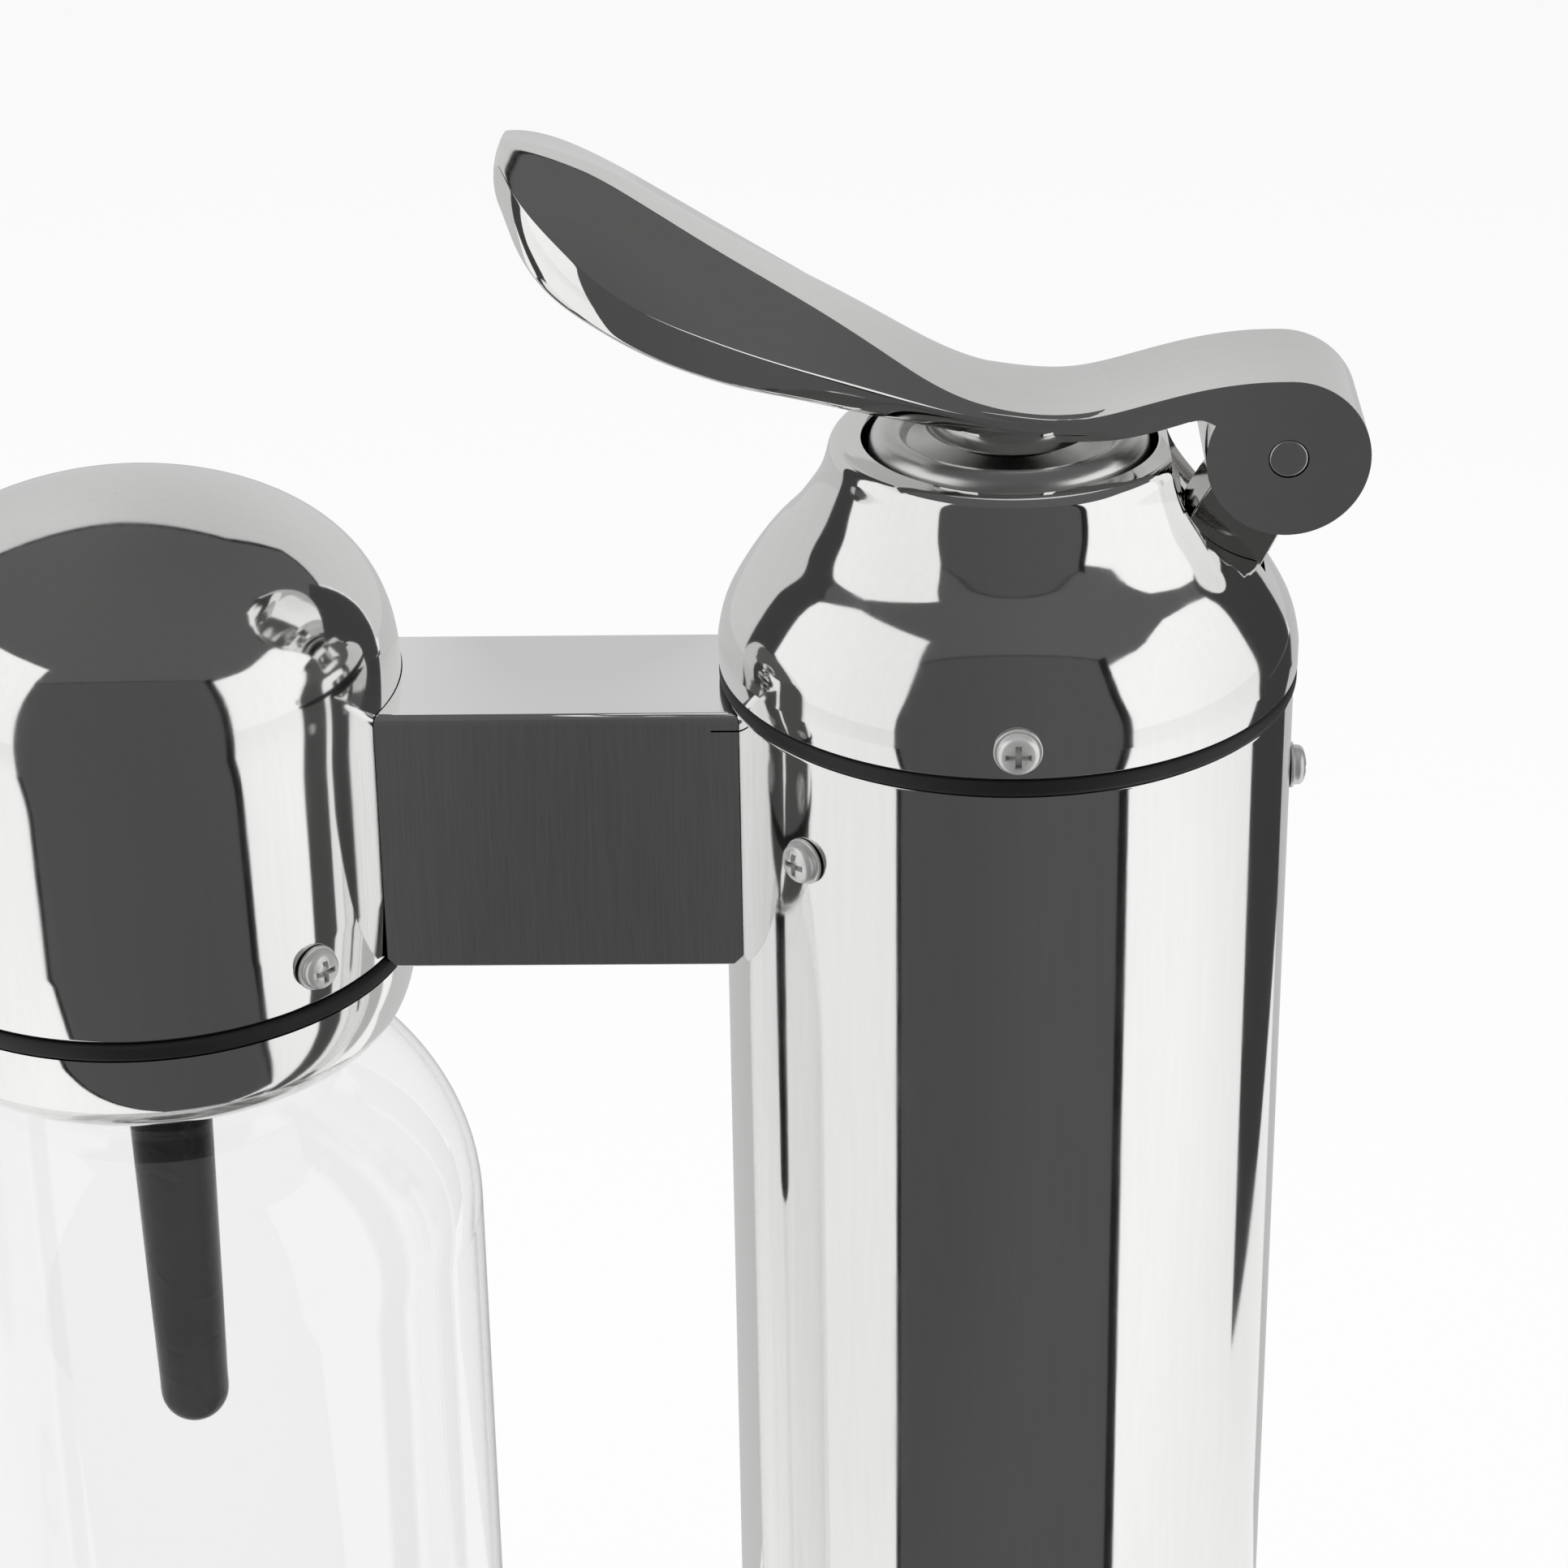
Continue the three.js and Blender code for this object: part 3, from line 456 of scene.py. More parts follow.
def build_fine_grain():
    """Fine scratches drawn out along one axis: a roughness and a height."""
    group, given, out = make_group(
        "fine_grain",
        [("Vector", VECTOR, (0, 0, 0)), ("Stretch", VECTOR, (1, 1, 1)), ("Scale", FLOAT, 1000.0),
         ("Roughness", FLOAT, 0.2), ("Spread", FLOAT, 0.1)], ["Roughness", "Height"])
    drawn = node(group, "ShaderNodeVectorMath", {"operation": "MULTIPLY"},
                 _0=given["Vector"], _1=given["Stretch"])
    fine = node(group, "ShaderNodeTexNoise", {"noise_dimensions": "3D"},
                Vector=drawn.outputs[0], Scale=given["Scale"], Detail=4.0, Roughness=0.65)
    lift = calc(group, "SUBTRACT", fine.outputs["Fac"], 0.5)
    rough = calc(group, "MULTIPLY_ADD", lift, given["Spread"], given["Roughness"])
    group.links.new(rough, out["Roughness"])
    group.links.new(fine.outputs["Fac"], out["Height"])


def build_handling():
    """Soft smudges left by hands and cloths: a mask from 0 to 1."""
    group, given, out = make_group(
        "handling", [("Vector", VECTOR, (0, 0, 0)), ("Scale", FLOAT, 40.0)], ["Mask"])
    cloud = node(group, "ShaderNodeTexNoise", {}, Vector=given["Vector"], Scale=given["Scale"],
                 Detail=3.0, Roughness=0.55, Distortion=0.6)
    held = node(group, "ShaderNodeMapRange", {}, _0=cloud.outputs["Fac"], _1=0.45, _2=0.75)
    group.links.new(held.outputs[0], out["Mask"])


def build_moulded():
    """The fine pebble of a moulded surface: a height."""
    group, given, out = make_group(
        "moulded", [("Vector", VECTOR, (0, 0, 0)), ("Scale", FLOAT, 2500.0)], ["Height"])
    pebble = node(group, "ShaderNodeTexVoronoi", {"feature": "SMOOTH_F1"},
                  Vector=given["Vector"], Scale=given["Scale"])
    group.links.new(pebble.outputs["Distance"], out["Height"])


def place_group(tree, name, **values):
    """Places a shared effect in a material."""
    return node(tree, "ShaderNodeGroup", {"node_tree": bpy.data.node_groups[name]}, **values).outputs


def scaled(tree, colour, factor):
    """A colour made darker by a factor."""
    return node(tree, "ShaderNodeVectorMath", {"operation": "SCALE"}, _0=colour, Scale=factor).outputs[0]


def mixed(tree, factor, a, b):
    """A mix of two colours."""
    mix = node(tree, "ShaderNodeMix", {"data_type": "RGBA"}, _0=factor)
    mix.inputs["A"].default_value, mix.inputs["B"].default_value = (*a, 1), (*b, 1)
    return mix.outputs["Result"]


# The height of fine marks, the soft darker bands painted into the steel as uneven reflections, the shade
# painted into recesses, and the dark shade painted along the clear bottle's edges.
FINE_LIFT = 0.05 * MM
PAINTED_BAND_STRETCH, PAINTED_BAND_SCALE, PAINTED_BAND_DARK = (1, 1, 0.2), 26.0, 0.86
PAINTED_SHADE_REACH, PAINTED_SHADE_DARK = 0.7 * MM, 0.12
CLEAR_EDGE_PAINTED_SHADE = (0.14, 0.14, 0.14)


def start_material(name, colour, metallic, **values):
    """A material with its Principled shader and its object coordinates."""
    material = bpy.data.materials.new(f"{name}_finish")
    material.use_nodes = True
    tree = material.node_tree
    shader = tree.nodes["Principled BSDF"]
    shader.inputs["Base Color"].default_value = (*colour, 1)
    shader.inputs["Metallic"].default_value = metallic
    for key, value in values.items():
        shader.inputs[key.replace("_", " ")].default_value = value
    where = node(tree, "ShaderNodeTexCoord").outputs["Object"]
    return tree, shader, where


def add_bump(tree, shader, height, strength, distance):
    lift = node(tree, "ShaderNodeBump", {}, Strength=strength, Distance=distance, Height=height)
    tree.links.new(lift.outputs["Normal"], shader.inputs["Normal"])


def add_wear(tree, shader, where, smudge, roughness):
    """Roughness that grows where hands have left smudges."""
    marks = place_group(tree, "handling", Vector=where)
    tree.links.new(calc(tree, "MULTIPLY_ADD", marks["Mask"], smudge, roughness), shader.inputs["Roughness"])


def steel_material(name, colour, roughness, spread, stretch, scale, bump, smudge, tone=0.04, metal=1.0,
                   painted_light_on_level=False):
    """Metal with drawn-out polishing marks and light handling smudges, and with soft darker bands painted
    into its colour as uneven reflections. It can paint light onto its level faces, and it paints shade into
    the recesses of a metal that is not fully metallic.
    """
    tree, shader, where = start_material(name, colour, metal)
    grain = place_group(tree, "fine_grain", Vector=where, Stretch=stretch,
                        Scale=scale, Roughness=roughness, Spread=spread)
    height = grain["Height"]
    # Painted light: faces that lie level, facing up or down, take the lighter colour of the streaks, as if
    # lit from above, and lose the bump of the marks.
    if painted_light_on_level:
        facing = node(tree, "ShaderNodeNewGeometry")
        upward = node(tree, "ShaderNodeSeparateXYZ", {}, _0=facing.outputs["Normal"])
        flat = calc(tree, "ABSOLUTE", upward.outputs["Z"])
        height = node(tree, "ShaderNodeMix", {"data_type": "FLOAT"}, _0=flat, _2=height, _3=1.0).outputs[0]
    add_wear(tree, shader, where, smudge, grain["Roughness"])
    streaks = mixed(tree, height, [c * (1 - tone) for c in colour], [min(1, c * (1 + tone)) for c in colour])
    # Painted reflection: soft darker bands, drawn out upright, darken the colour in place of the uneven
    # reflections of the surroundings.
    bands = node(tree, "ShaderNodeVectorMath", {"operation": "MULTIPLY"}, _0=where, _1=PAINTED_BAND_STRETCH)
    cloud = node(tree, "ShaderNodeTexNoise", {}, Vector=bands.outputs[0], Scale=PAINTED_BAND_SCALE, Detail=0.0)
    level = node(tree, "ShaderNodeMapRange", {}, _0=cloud.outputs["Fac"], _1=0.35, _2=0.6, _3=PAINTED_BAND_DARK)
    tint = scaled(tree, streaks, level.outputs[0])
    # Painted shade: a metal that is not fully metallic is darkened in its recesses and creases, where shade
    # falls.
    if metal < 1:
        crease = node(tree, "ShaderNodeAmbientOcclusion", {"samples": 4}, Distance=PAINTED_SHADE_REACH)
        painted_recess_shade = node(tree, "ShaderNodeMapRange", {}, _0=crease.outputs["AO"], _1=0.25, _2=0.75, _3=PAINTED_SHADE_DARK)
        tint = scaled(tree, tint, painted_recess_shade.outputs[0])
    tree.links.new(tint, shader.inputs["Base Color"])
    add_bump(tree, shader, height, bump, FINE_LIFT)


def plastic_material(name, colour, roughness, bump, **values):
    """A moulded surface with a fine pebble and slight wear."""
    tree, shader, where = start_material(name, colour, 0.0, **values)
    pebble = place_group(tree, "moulded", Vector=where)
    add_wear(tree, shader, where, 0.12, roughness)
    add_bump(tree, shader, pebble["Height"], bump, FINE_LIFT)


def clear_material(name, colour):
    """Clear blown plastic, with shade painted along its edges where the wall is seen edge-on, and a slight
    unevenness from the mould.
    """
    tree, shader, where = start_material(name, colour, 0.0, Transmission_Weight=1.0, IOR=1.45)
    wave = node(tree, "ShaderNodeTexNoise", {}, Vector=where, Scale=35.0, Detail=1.0)
    # Painted shade: towards the bottle's edges, where the wall is seen edge-on, the colour turns to the dark
    # grey of the painted edge shade.
    rim = node(tree, "ShaderNodeLayerWeight", {}, Blend=0.5)
    edge_on_shade = node(tree, "ShaderNodeMapRange", {"interpolation_type": "SMOOTHSTEP"},
                 _0=rim.outputs["Facing"], _1=0.84, _2=0.97)
    tree.links.new(mixed(tree, edge_on_shade.outputs[0], colour, CLEAR_EDGE_PAINTED_SHADE), shader.inputs["Base Color"])
    add_wear(tree, shader, where, 0.03, 0.02)
    add_bump(tree, shader, wave.outputs["Fac"], 0.03, 0.4 * MM)


class WATERMAKER_OT_finishes(bpy.types.Operator):
    """Makes the materials of the steel, rubber, plastic and bottle"""
    bl_idname = "watermaker.finishes"
    bl_label = "Finishes"

    def execute(self, context):
        c = context.scene.water_maker.colours
        build_fine_grain()
        build_handling()
        build_moulded()
        # Colour, roughness and its spread, stretch and scale of the marks, their height, and smudges.
        steel_material("polished_steel", c.steel, 0.06, 0.05, (1, 1, 0.06), 900, 0.03, 0.03)
        # The bracket's steel is the polished steel made darker: painted shade under the knuckle.
        steel_material("bracket_steel_painted_shade", c.bracket, 0.1, 0.06, (1, 1, 0.06), 900, 0.03, 0.03)
        steel_material("cast_steel", c.steel, 0.05, 0.03, (0.3, 1, 1), 700, 0.012, 0.02)
        # The brushed steel's level faces get painted light.
        steel_material("brushed_steel", c.brushed, 0.07, 0.06, (1, 1, 0.025), 3500, 0.04, 0.02,
                       tone=0.3, painted_light_on_level=True)
        steel_material("satin_steel", c.satin, 0.3, 0.12, (1, 1, 1), 1500, 0.08, 0.05)
        # The screws' steel is not fully metallic, so shade is painted into its cross recess.
        steel_material("screw_steel", c.satin, 0.36, 0.15, (1, 1, 1), 1200, 0.08, 0.05, metal=0.72)
        steel_material("cylinder_aluminium", c.aluminium, 0.38, 0.15, (1, 1, 0.2), 900, 0.2, 0.05)
        steel_material("valve_brass", c.brass, 0.3, 0.15, (0.3, 0.3, 2), 900, 0.2, 0.05)
        # Colour, roughness and height of the pebble.
        plastic_material("black_rubber", c.rubber, 0.55, 0.3)
        plastic_material("black_plastic", c.black, 0.36, 0.2)
        plastic_material("nozzle_plastic", c.black, 0.22, 0.02, Specular_IOR_Level=0.12)
        plastic_material("grey_plastic", c.grey, 0.45, 0.25)
        clear_material("clear_bottle", c.clear)
        for name in NODE_FINISHES:
            paint(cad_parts[name], name)
        return {"FINISHED"}


# The screws: the node that each kind sits in, its axis and the screws' angles in degrees.
SCREWS = {
    "cap_screw": ("tower_cap", TOWER_X, (-90, 90)),
    "tube_screw": ("tower_tube", TOWER_X, (-135, 135, 0)),
    "head_screw": ("head_shell", HEAD_X, (-45, 45, 180)),
}
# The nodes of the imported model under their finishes, whether they show or a smooth piece stands for them.
FINISHES = {
    "polished_steel": ["tower_tube", "tower_cap", "head_shell", "head_collar", "drip_tray"],
    "bracket_steel_painted_shade": ["hinge_bracket"],
    "cast_steel": ["lever"],
    "brushed_steel": ["base_cover", "arm_shell", "arm_floor"],
    "satin_steel": ["push_button", "button_spring", "hinge_pin", "arm_spine"],
    "screw_steel": [f"{kind}_{i}" for kind, row in SCREWS.items() for i in range(1, len(row[2]) + 1)],
    "cylinder_aluminium": ["co2_cylinder"],
    "valve_brass": ["cylinder_valve", "push_rod", "relief_valve"],
    "black_rubber": ["tower_gasket", "head_gasket", "bottle_seal", *(f"foot_{i}" for i in range(1, 5))],
    "black_plastic": ["tube_locator", "valve_block", "head_block"],
    "nozzle_plastic": ["nozzle"],
    "grey_plastic": ["base_plate", "rod_guide", "gas_hose"],
    "clear_bottle": ["bottle"],
}
NODE_FINISHES = {name: finish for finish, names in FINISHES.items() for name in names}


def paint(piece, node_name):
    """Gives a piece the material made for a node's finish."""
    piece.data.materials.clear()
    piece.data.materials.append(bpy.data.materials[f"{NODE_FINISHES[node_name]}_finish"])


# The groove of the tube's welded seam.
SEAM_DEPTH, SEAM_HALF = 0.12 * MM, 0.07 * MM


class WATERMAKER_OT_tower(bpy.types.Operator):
    """Turns the tower's tube and the black ring on it"""
    bl_idname = "watermaker.tower"
    bl_label = "Tower tube"

    def execute(self, context):
        s = context.scene.water_maker.tower
        r, low, high = round_box("tower_tube")
        edge, inner_r = s.tube_edge_r, r - s.tube_wall
        corners = [(r, low, edge), (r, high, edge), (inner_r, high, edge), (inner_r, low, edge)]
        tube = turn("tower_tube_smooth", rounded(corners, loop=True), TOWER_X, loop=True)
        seam = box("seam", (r - SEAM_DEPTH, -SEAM_HALF, low - MM), (r + MM, SEAM_HALF, high + MM))
        seam.data.transform(Matrix.Translation((TOWER_X, 0, 0)) @ Matrix.Rotation(
            math.radians(-90 + s.seam_turn), 4, "Z"))
        cut(tube, seam)
        dress(tube, "tower_tube")
        gasket("tower_gasket", s.gasket_wall, s.gasket_edge_r, TOWER_X)
        return {"FINISHED"}


# The points that draw the bell's outline, in mm from its axis and above the seat.
BELL = [(37.9, 6.7), (36.2, 10.0), (34.2, 13.2), (31.9, 16.4), (29.2, 18.9), (27.3, 21.6), (25.0, 24.9),
        (23.9, 28.2), (23.6, 30.2), (22.7, 31.3)]
# Where the bell begins, the outer radius of its flat ring, and the height down to which it is solid.
BELL_FOOT, FLAT_R, SOLID_FOOT = 3.2 * MM, 21.5 * MM, 12.7 * MM
SKIRT_WALL, SKIRT_EDGE, HOLE_EDGE, CUT_EDGE = 2 * MM, 0.35 * MM, 0.5 * MM, 0.45 * MM
# The hinge pin's place, the corners of the bracket's sides and its half width, in mm as for lever_point.
PIN_SPOT = (35.4, 31.3)
BRACKET_TOE, BRACKET_HEEL = (32.8, 14.4), (25.1, 24.4)
BRACKET_EYE_R, BRACKET_HALF = 5, 5
SLOT_HALF = BRACKET_HALF + FIT / MM
# The lower inner and upper outer corners of the slot in the cap that the bracket comes up through.
CAP_SLOT_LOW, CAP_SLOT_HIGH = (22.8, 9.3), (33.4, 25)
# The round channel pressed into the cap for the knuckle: its place in mm, its radius and half width.
CHANNEL_SPOT = (PIN_SPOT[0] + 0.2, PIN_SPOT[1] - 1.3)
CHANNEL_R, CHANNEL_HALF = 15.2 * MM, 11.6 * MM


class WATERMAKER_OT_cap(bpy.types.Operator):
    """Turns the bell-shaped cap and presses the lever's channel into its side"""
    bl_idname = "watermaker.cap"
    bl_label = "Tower cap"

    def execute(self, context):
        s = context.scene.water_maker.tower
        skirt_r, top = s.cap_skirt_r, s.cap_height
        bell = flowing([(skirt_r, BELL_FOOT), *((r * MM, z * MM) for r, z in BELL), (FLAT_R, top)], 5)
        outer = [(skirt_r - SKIRT_EDGE, 0), (skirt_r, SKIRT_EDGE), *bell]
        rim = rounded([(FLAT_R - 0.1 * MM, top, 0), (s.cap_hole_r, top, HOLE_EDGE),
                       (s.cap_hole_r, SOLID_FOOT, 0)])
        inner = [p for p in inset(bell, s.cap_wall)[::-1] if p[1] < SOLID_FOOT]
        inner.insert(0, (inner[0][0], SOLID_FOOT))
        outline = [(r, z + SEAT_Z) for r, z in [*outer, *rim, *inner, (skirt_r - SKIRT_WALL, 0)]]
        cap = turn("tower_cap_smooth", outline, TOWER_X, sides=144, loop=True)
        press = cylinder("channel_press", CHANNEL_R, -CHANNEL_HALF, CHANNEL_HALF, sides=96)
        place(press, Matrix.Translation(lever_point(*CHANNEL_SPOT)) @ Matrix.Rotation(math.pi / 2, 4, "X"))
        slot = box("bracket_slot", lever_point(*CAP_SLOT_LOW, -SLOT_HALF),
                   lever_point(*CAP_SLOT_HIGH, SLOT_HALF))
        cut(cap, press, slot)
        bevel(cap, CUT_EDGE, degrees=40)
        dress(cap, "tower_cap", degrees=40)
        return {"FINISHED"}


# The width between the button's side and its dish, the steps of the dish's curve, and the foot's edge.
DISH_INSET, DISH_EDGE_DROP, DISH_FALL = 4.9 * MM, 0.3 * MM, 2.5 * MM
DISH_LIP, DISH_SAG, DISH_FLAT_R, BUTTON_FOOT_EDGE = 0.5 * MM, 0.1 * MM, 2 * MM, 0.6 * MM


class WATERMAKER_OT_button(bpy.types.Operator):
    """Turns the push button with its dish and rolled rim"""
    bl_idname = "watermaker.button"
    bl_label = "Push button"

    def execute(self, context):
        s = context.scene.water_maker.tower
        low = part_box("push_button")[0].z - SEAT_Z
        hub, shelf = s.button_r - s.button_rim_r, s.button_top - s.button_rim_r
        rim = arc(hub, shelf, s.button_rim_r, s.button_rim_r, 0, 165, 20)
        dish_r = s.button_r - DISH_INSET
        dish = flowing([
            (dish_r, rim[-1][1] - DISH_EDGE_DROP), (dish_r - DISH_FALL, s.button_dish + DISH_LIP),
            (dish_r / 2, s.button_dish + DISH_SAG), (DISH_FLAT_R, s.button_dish), (0, s.button_dish)], 6)
        foot = [(0, low), (s.button_r - BUTTON_FOOT_EDGE, low), (s.button_r, low + BUTTON_FOOT_EDGE)]
        outline = [(r, z + SEAT_Z) for r, z in [*foot, *rim, *dish]]
        button = turn("push_button_smooth", outline, TOWER_X, sides=128)
        dress(button, "push_button", body="button")
        return {"FINISHED"}


# Rings of the lever from its tip to its neck, in mm from the tower's axis and above the seat: way along,
# half width, height of the edge, half width of the top, height of the ridge, height of the lower edge.
LEVER_RINGS = [
    (-65.3, 3.2, 69.0, 0.8, 69.3, 67.4), (-65.0, 5.6, 69.9, 0.9, 70.4, 66.0),
    (-64.45, 6.8, 70.6, 0.95, 71.4, 64.8), (-64.3, 7.0, 70.7, 0.95, 71.65, 64.6),
    (-63.2, 10.2, 69.7, 1.1, 71.45, 63.0), (-61.6, 14.1, 68.3, 1.4, 71.0, 60.4),
    (-58.0, 18.9, 65.7, 2.0, 69.9, 57.1), (-52.0, 23.2, 61.1, 2.4, 67.4, 54.5),
    (-46.0, 23.9, 57.1, 2.8, 63.75, 51.1), (-40.0, 22.4, 53.9, 3.4, 59.95, 48.0),
    (-34.0, 20.6, 50.8, 4.1, 56.25, 45.3), (-28.0, 18.5, 47.9, 4.9, 52.75, 42.9),
    (-22.0, 16.0, 45.1, 5.9, 49.2, 40.3), (-16.0, 13.4, 42.2, 7.0, 45.35, 38.0),
    (-10.0, 11.0, 39.3, 8.2, 41.25, 35.8), (-4.0, 9.8, 37.3, 8.6, 38.4, 34.3),
    (2.0, 9.56, 36.2, 8.8, 37.24, 33.95), (8.0, 9.5, 36.0, 8.75, 37.06, 33.9),
    (14.0, 9.42, 37.0, 8.65, 38.05, 33.95),
]
# The neck's upper and lower lines and the knuckle's notch, in the same mm.
NECK_TOP = [(-4, 38.1), (2, 37.0), (9, 36.6), (16, 38.6), (24, 40.9), (31, 41.85), (35.4, 41.85)]
NECK_UNDER = [(23.2, 36.7), (17.9, 35.0), (13, 33.9), (7, 33.9), (0.3, 33.9), (-4, 34.1)]
NOTCH = [(22.2, 36.3), (24.0, 36.9), (25.4, 36.2)]


def lever_section(x, half, edge, top_half, ridge, low):
    """One ring of the lever: its top, the near and far facets, the round side walls and the underside."""
    bulge = 0.25 + 0.9 * max(0, min(1, (-x - 34) / 24))
    tuck = 0.3 * (edge - low) * max(0, min(1, (x + 34) / 8, (2 - x) / 8))
    fall = (ridge - edge) / (half - top_half)
    crease = top_half + 0.22 * (half - top_half)
    middle = (crease + half) / 2
    top = [(0, ridge + 0.06 * top_half), (0.62 * top_half, ridge + 0.03 * top_half), (top_half, ridge)]
    facet = [(y, ridge - fall * (y - top_half)) for y in (crease, middle)]
    rim = [(half - 0.4, edge + 0.35 * fall), (half - 0.05, edge + 0.03), (half + 0.02, edge - 0.2)]
    wall = [(half + bulge - 0.4 * tuck, edge - 0.45 * (edge - low)), (half + 0.6 * bulge - tuck, low + 0.95)]
    chamfer = [(half + 0.5 * bulge - tuck - 0.15, low + 0.75), (half - 0.85 - tuck, low + 0.1),
               (half - 1.2 - tuck, low)]
    under = [(0.5 * half, low + 0.1 * (ridge - edge)), (0, low + 0.15 * (ridge - edge))]
    run = [*top, *facet, *rim, *wall, *chamfer, *under]
    full = run + [(-y, z) for y, z in run[-2:0:-1]]
    return [lever_point(x, z, y) for y, z in full]


def lever_point(x, z, y=0.0):
    """A point given in mm from the tower's axis, above the seat and along the lever's width."""
    return Vector((TOWER_X + x * MM, y * MM, SEAT_Z + z * MM))


def loft(name, sections):
    """A closed piece drawn out from ring to ring, all with as many points."""
    deselect()
    bpy.ops.mesh.primitive_circle_add(vertices=len(sections[0]))
    piece = added(name)
    with editing(piece, "EDGE"):
        for i, section in enumerate(sections):
            if i:
                bpy.ops.mesh.extrude_edges_move()
            shape = bmesh.from_edit_mesh(piece.data)
            ring = sorted((v for v in shape.verts if v.select), key=lambda v: v.index)
            for vertex, point in zip(ring, section):
                vertex.co = point
            bmesh.update_edit_mesh(piece.data)
    make_closed(piece)
    return piece


def plate(name, outline, half):
    """A plate standing along X and Z; its outline is in mm as for lever_point."""
    deselect()
    bpy.ops.mesh.primitive_circle_add(vertices=len(outline), fill_type="NGON")
    piece = added(name)
    for vertex, (x, z) in zip(piece.data.vertices, outline):
        vertex.co = lever_point(x, z, -half)
    with editing(piece, "FACE"):
        bpy.ops.mesh.extrude_region_move(TRANSFORM_OT_translate={"value": (0, 2 * half * MM, 0)})
    turn_outwards(piece)
    return piece


def hull_plate(name, points, half):
    """A plate whose outline is the band stretched round the points."""
    piece = plate(name, points, half)
    with editing(piece):
        bpy.ops.mesh.convex_hull()
    modify(piece, "DECIMATE", decimate_type="DISSOLVE", angle_limit=math.radians(0.5))
    turn_outwards(piece)
    return piece


def round_points(centre, r, start, end, steps):
    return arc(*centre, r, r, start, end, steps)


def swung(point, gap, degrees):
    """A point turned about the pin and moved away from it."""
    arm = Vector(point) - Vector(PIN_SPOT)
    turn_by = math.atan2(arm.y, arm.x) + math.radians(degrees)
    reach = arm.length + gap
    return (PIN_SPOT[0] + reach * math.cos(turn_by), PIN_SPOT[1] + reach * math.sin(turn_by))


def pin_bore(r, half):
    return plate("pin_bore", round_points(PIN_SPOT, r, 0, 352.5, 47), half)


# The boss that presses the button, in mm: its radius and its dome's, and the heights of its foot and top.
BOSS_R, BOSS_CURVE_R, BOSS_FOOT, BOSS_TOP = 11.0, 20.0, 29.5, 35.3
# How much wider than the pin its bores are, and where the knuckle's round end starts and stops, in degrees.
LEVER_BORE_PLAY, BRACKET_BORE_PLAY = 0.12, 0.2
KNUCKLE_ARC, KNUCKLE_EDGE = (88, -206), 0.8 * MM
# How far the lever's slot reaches past the bracket, in mm, and how far the pressed lever swings, in degrees.
SLOT_PAST, SLOT_SWING, TOE_SWING = 6, -8, 2


class WATERMAKER_OT_lever(bpy.types.Operator):
    """Draws the lever out section by section and welds its knuckle and boss on"""
    bl_idname = "watermaker.lever"
    bl_label = "Lever"

    def execute(self, context):
        s = context.scene.water_maker.lever
        knuckle_r, half, pin_r = s.knuckle_r / MM, s.knuckle_half / MM, s.pin_r / MM
        paddle = loft("lever_smooth", [lever_section(*ring) for ring in LEVER_RINGS])
        modify(paddle, "SUBSURF", levels=3, render_levels=3)
        rim = round_points(PIN_SPOT, knuckle_r, *KNUCKLE_ARC, 72)
        notch = flowing([rim[-1], *NOTCH[::-1], NECK_UNDER[0]], 4)
        outline = [*flowing(NECK_TOP, 8)[4:], *rim, *notch[1:], *flowing(NECK_UNDER, 6)[1:-6]]
        knuckle = plate("knuckle", outline, half)
        bevel(knuckle, KNUCKLE_EDGE, segments=4, degrees=50)
        weld_on(paddle, knuckle, self.boss())
        slot = hull_plate("slot", [
            *round_points(PIN_SPOT, BRACKET_EYE_R + 2 * FIT / MM, 0, 345, 23),
            swung(BRACKET_HEEL, SLOT_PAST, SLOT_SWING), swung(BRACKET_TOE, FIT / MM, TOE_SWING),
            swung(BRACKET_TOE, SLOT_PAST, SLOT_SWING)], SLOT_HALF)
        cut(paddle, slot, pin_bore(pin_r + LEVER_BORE_PLAY, half + 2))
        turn_outwards(paddle)
        level_flats(paddle)
        dress(paddle, "lever", body="lever", degrees=None)
        return {"FINISHED"}

    def boss(self):
        edge = math.degrees(math.asin(BOSS_R / BOSS_CURVE_R))
        dome = arc(0, BOSS_FOOT + BOSS_CURVE_R, BOSS_CURVE_R, BOSS_CURVE_R, -90, -90 + edge, 10)
        outline = [*dome, (BOSS_R, BOSS_TOP), (0, BOSS_TOP)]
        return turn("boss", [(r * MM, z * MM + SEAT_Z) for r, z in outline], TOWER_X, sides=64)


# The bracket's back and shelf, where its sides touch its eye in degrees, and the foot that it stands on.
BRACKET_BACK, BRACKET_SHELF, BRACKET_ARC = 23.4, 21.4, (-25.7, 147.6)
FOOT_FRONT, FOOT_HALF, FOOT_HEIGHT = 29.4, 8, 3


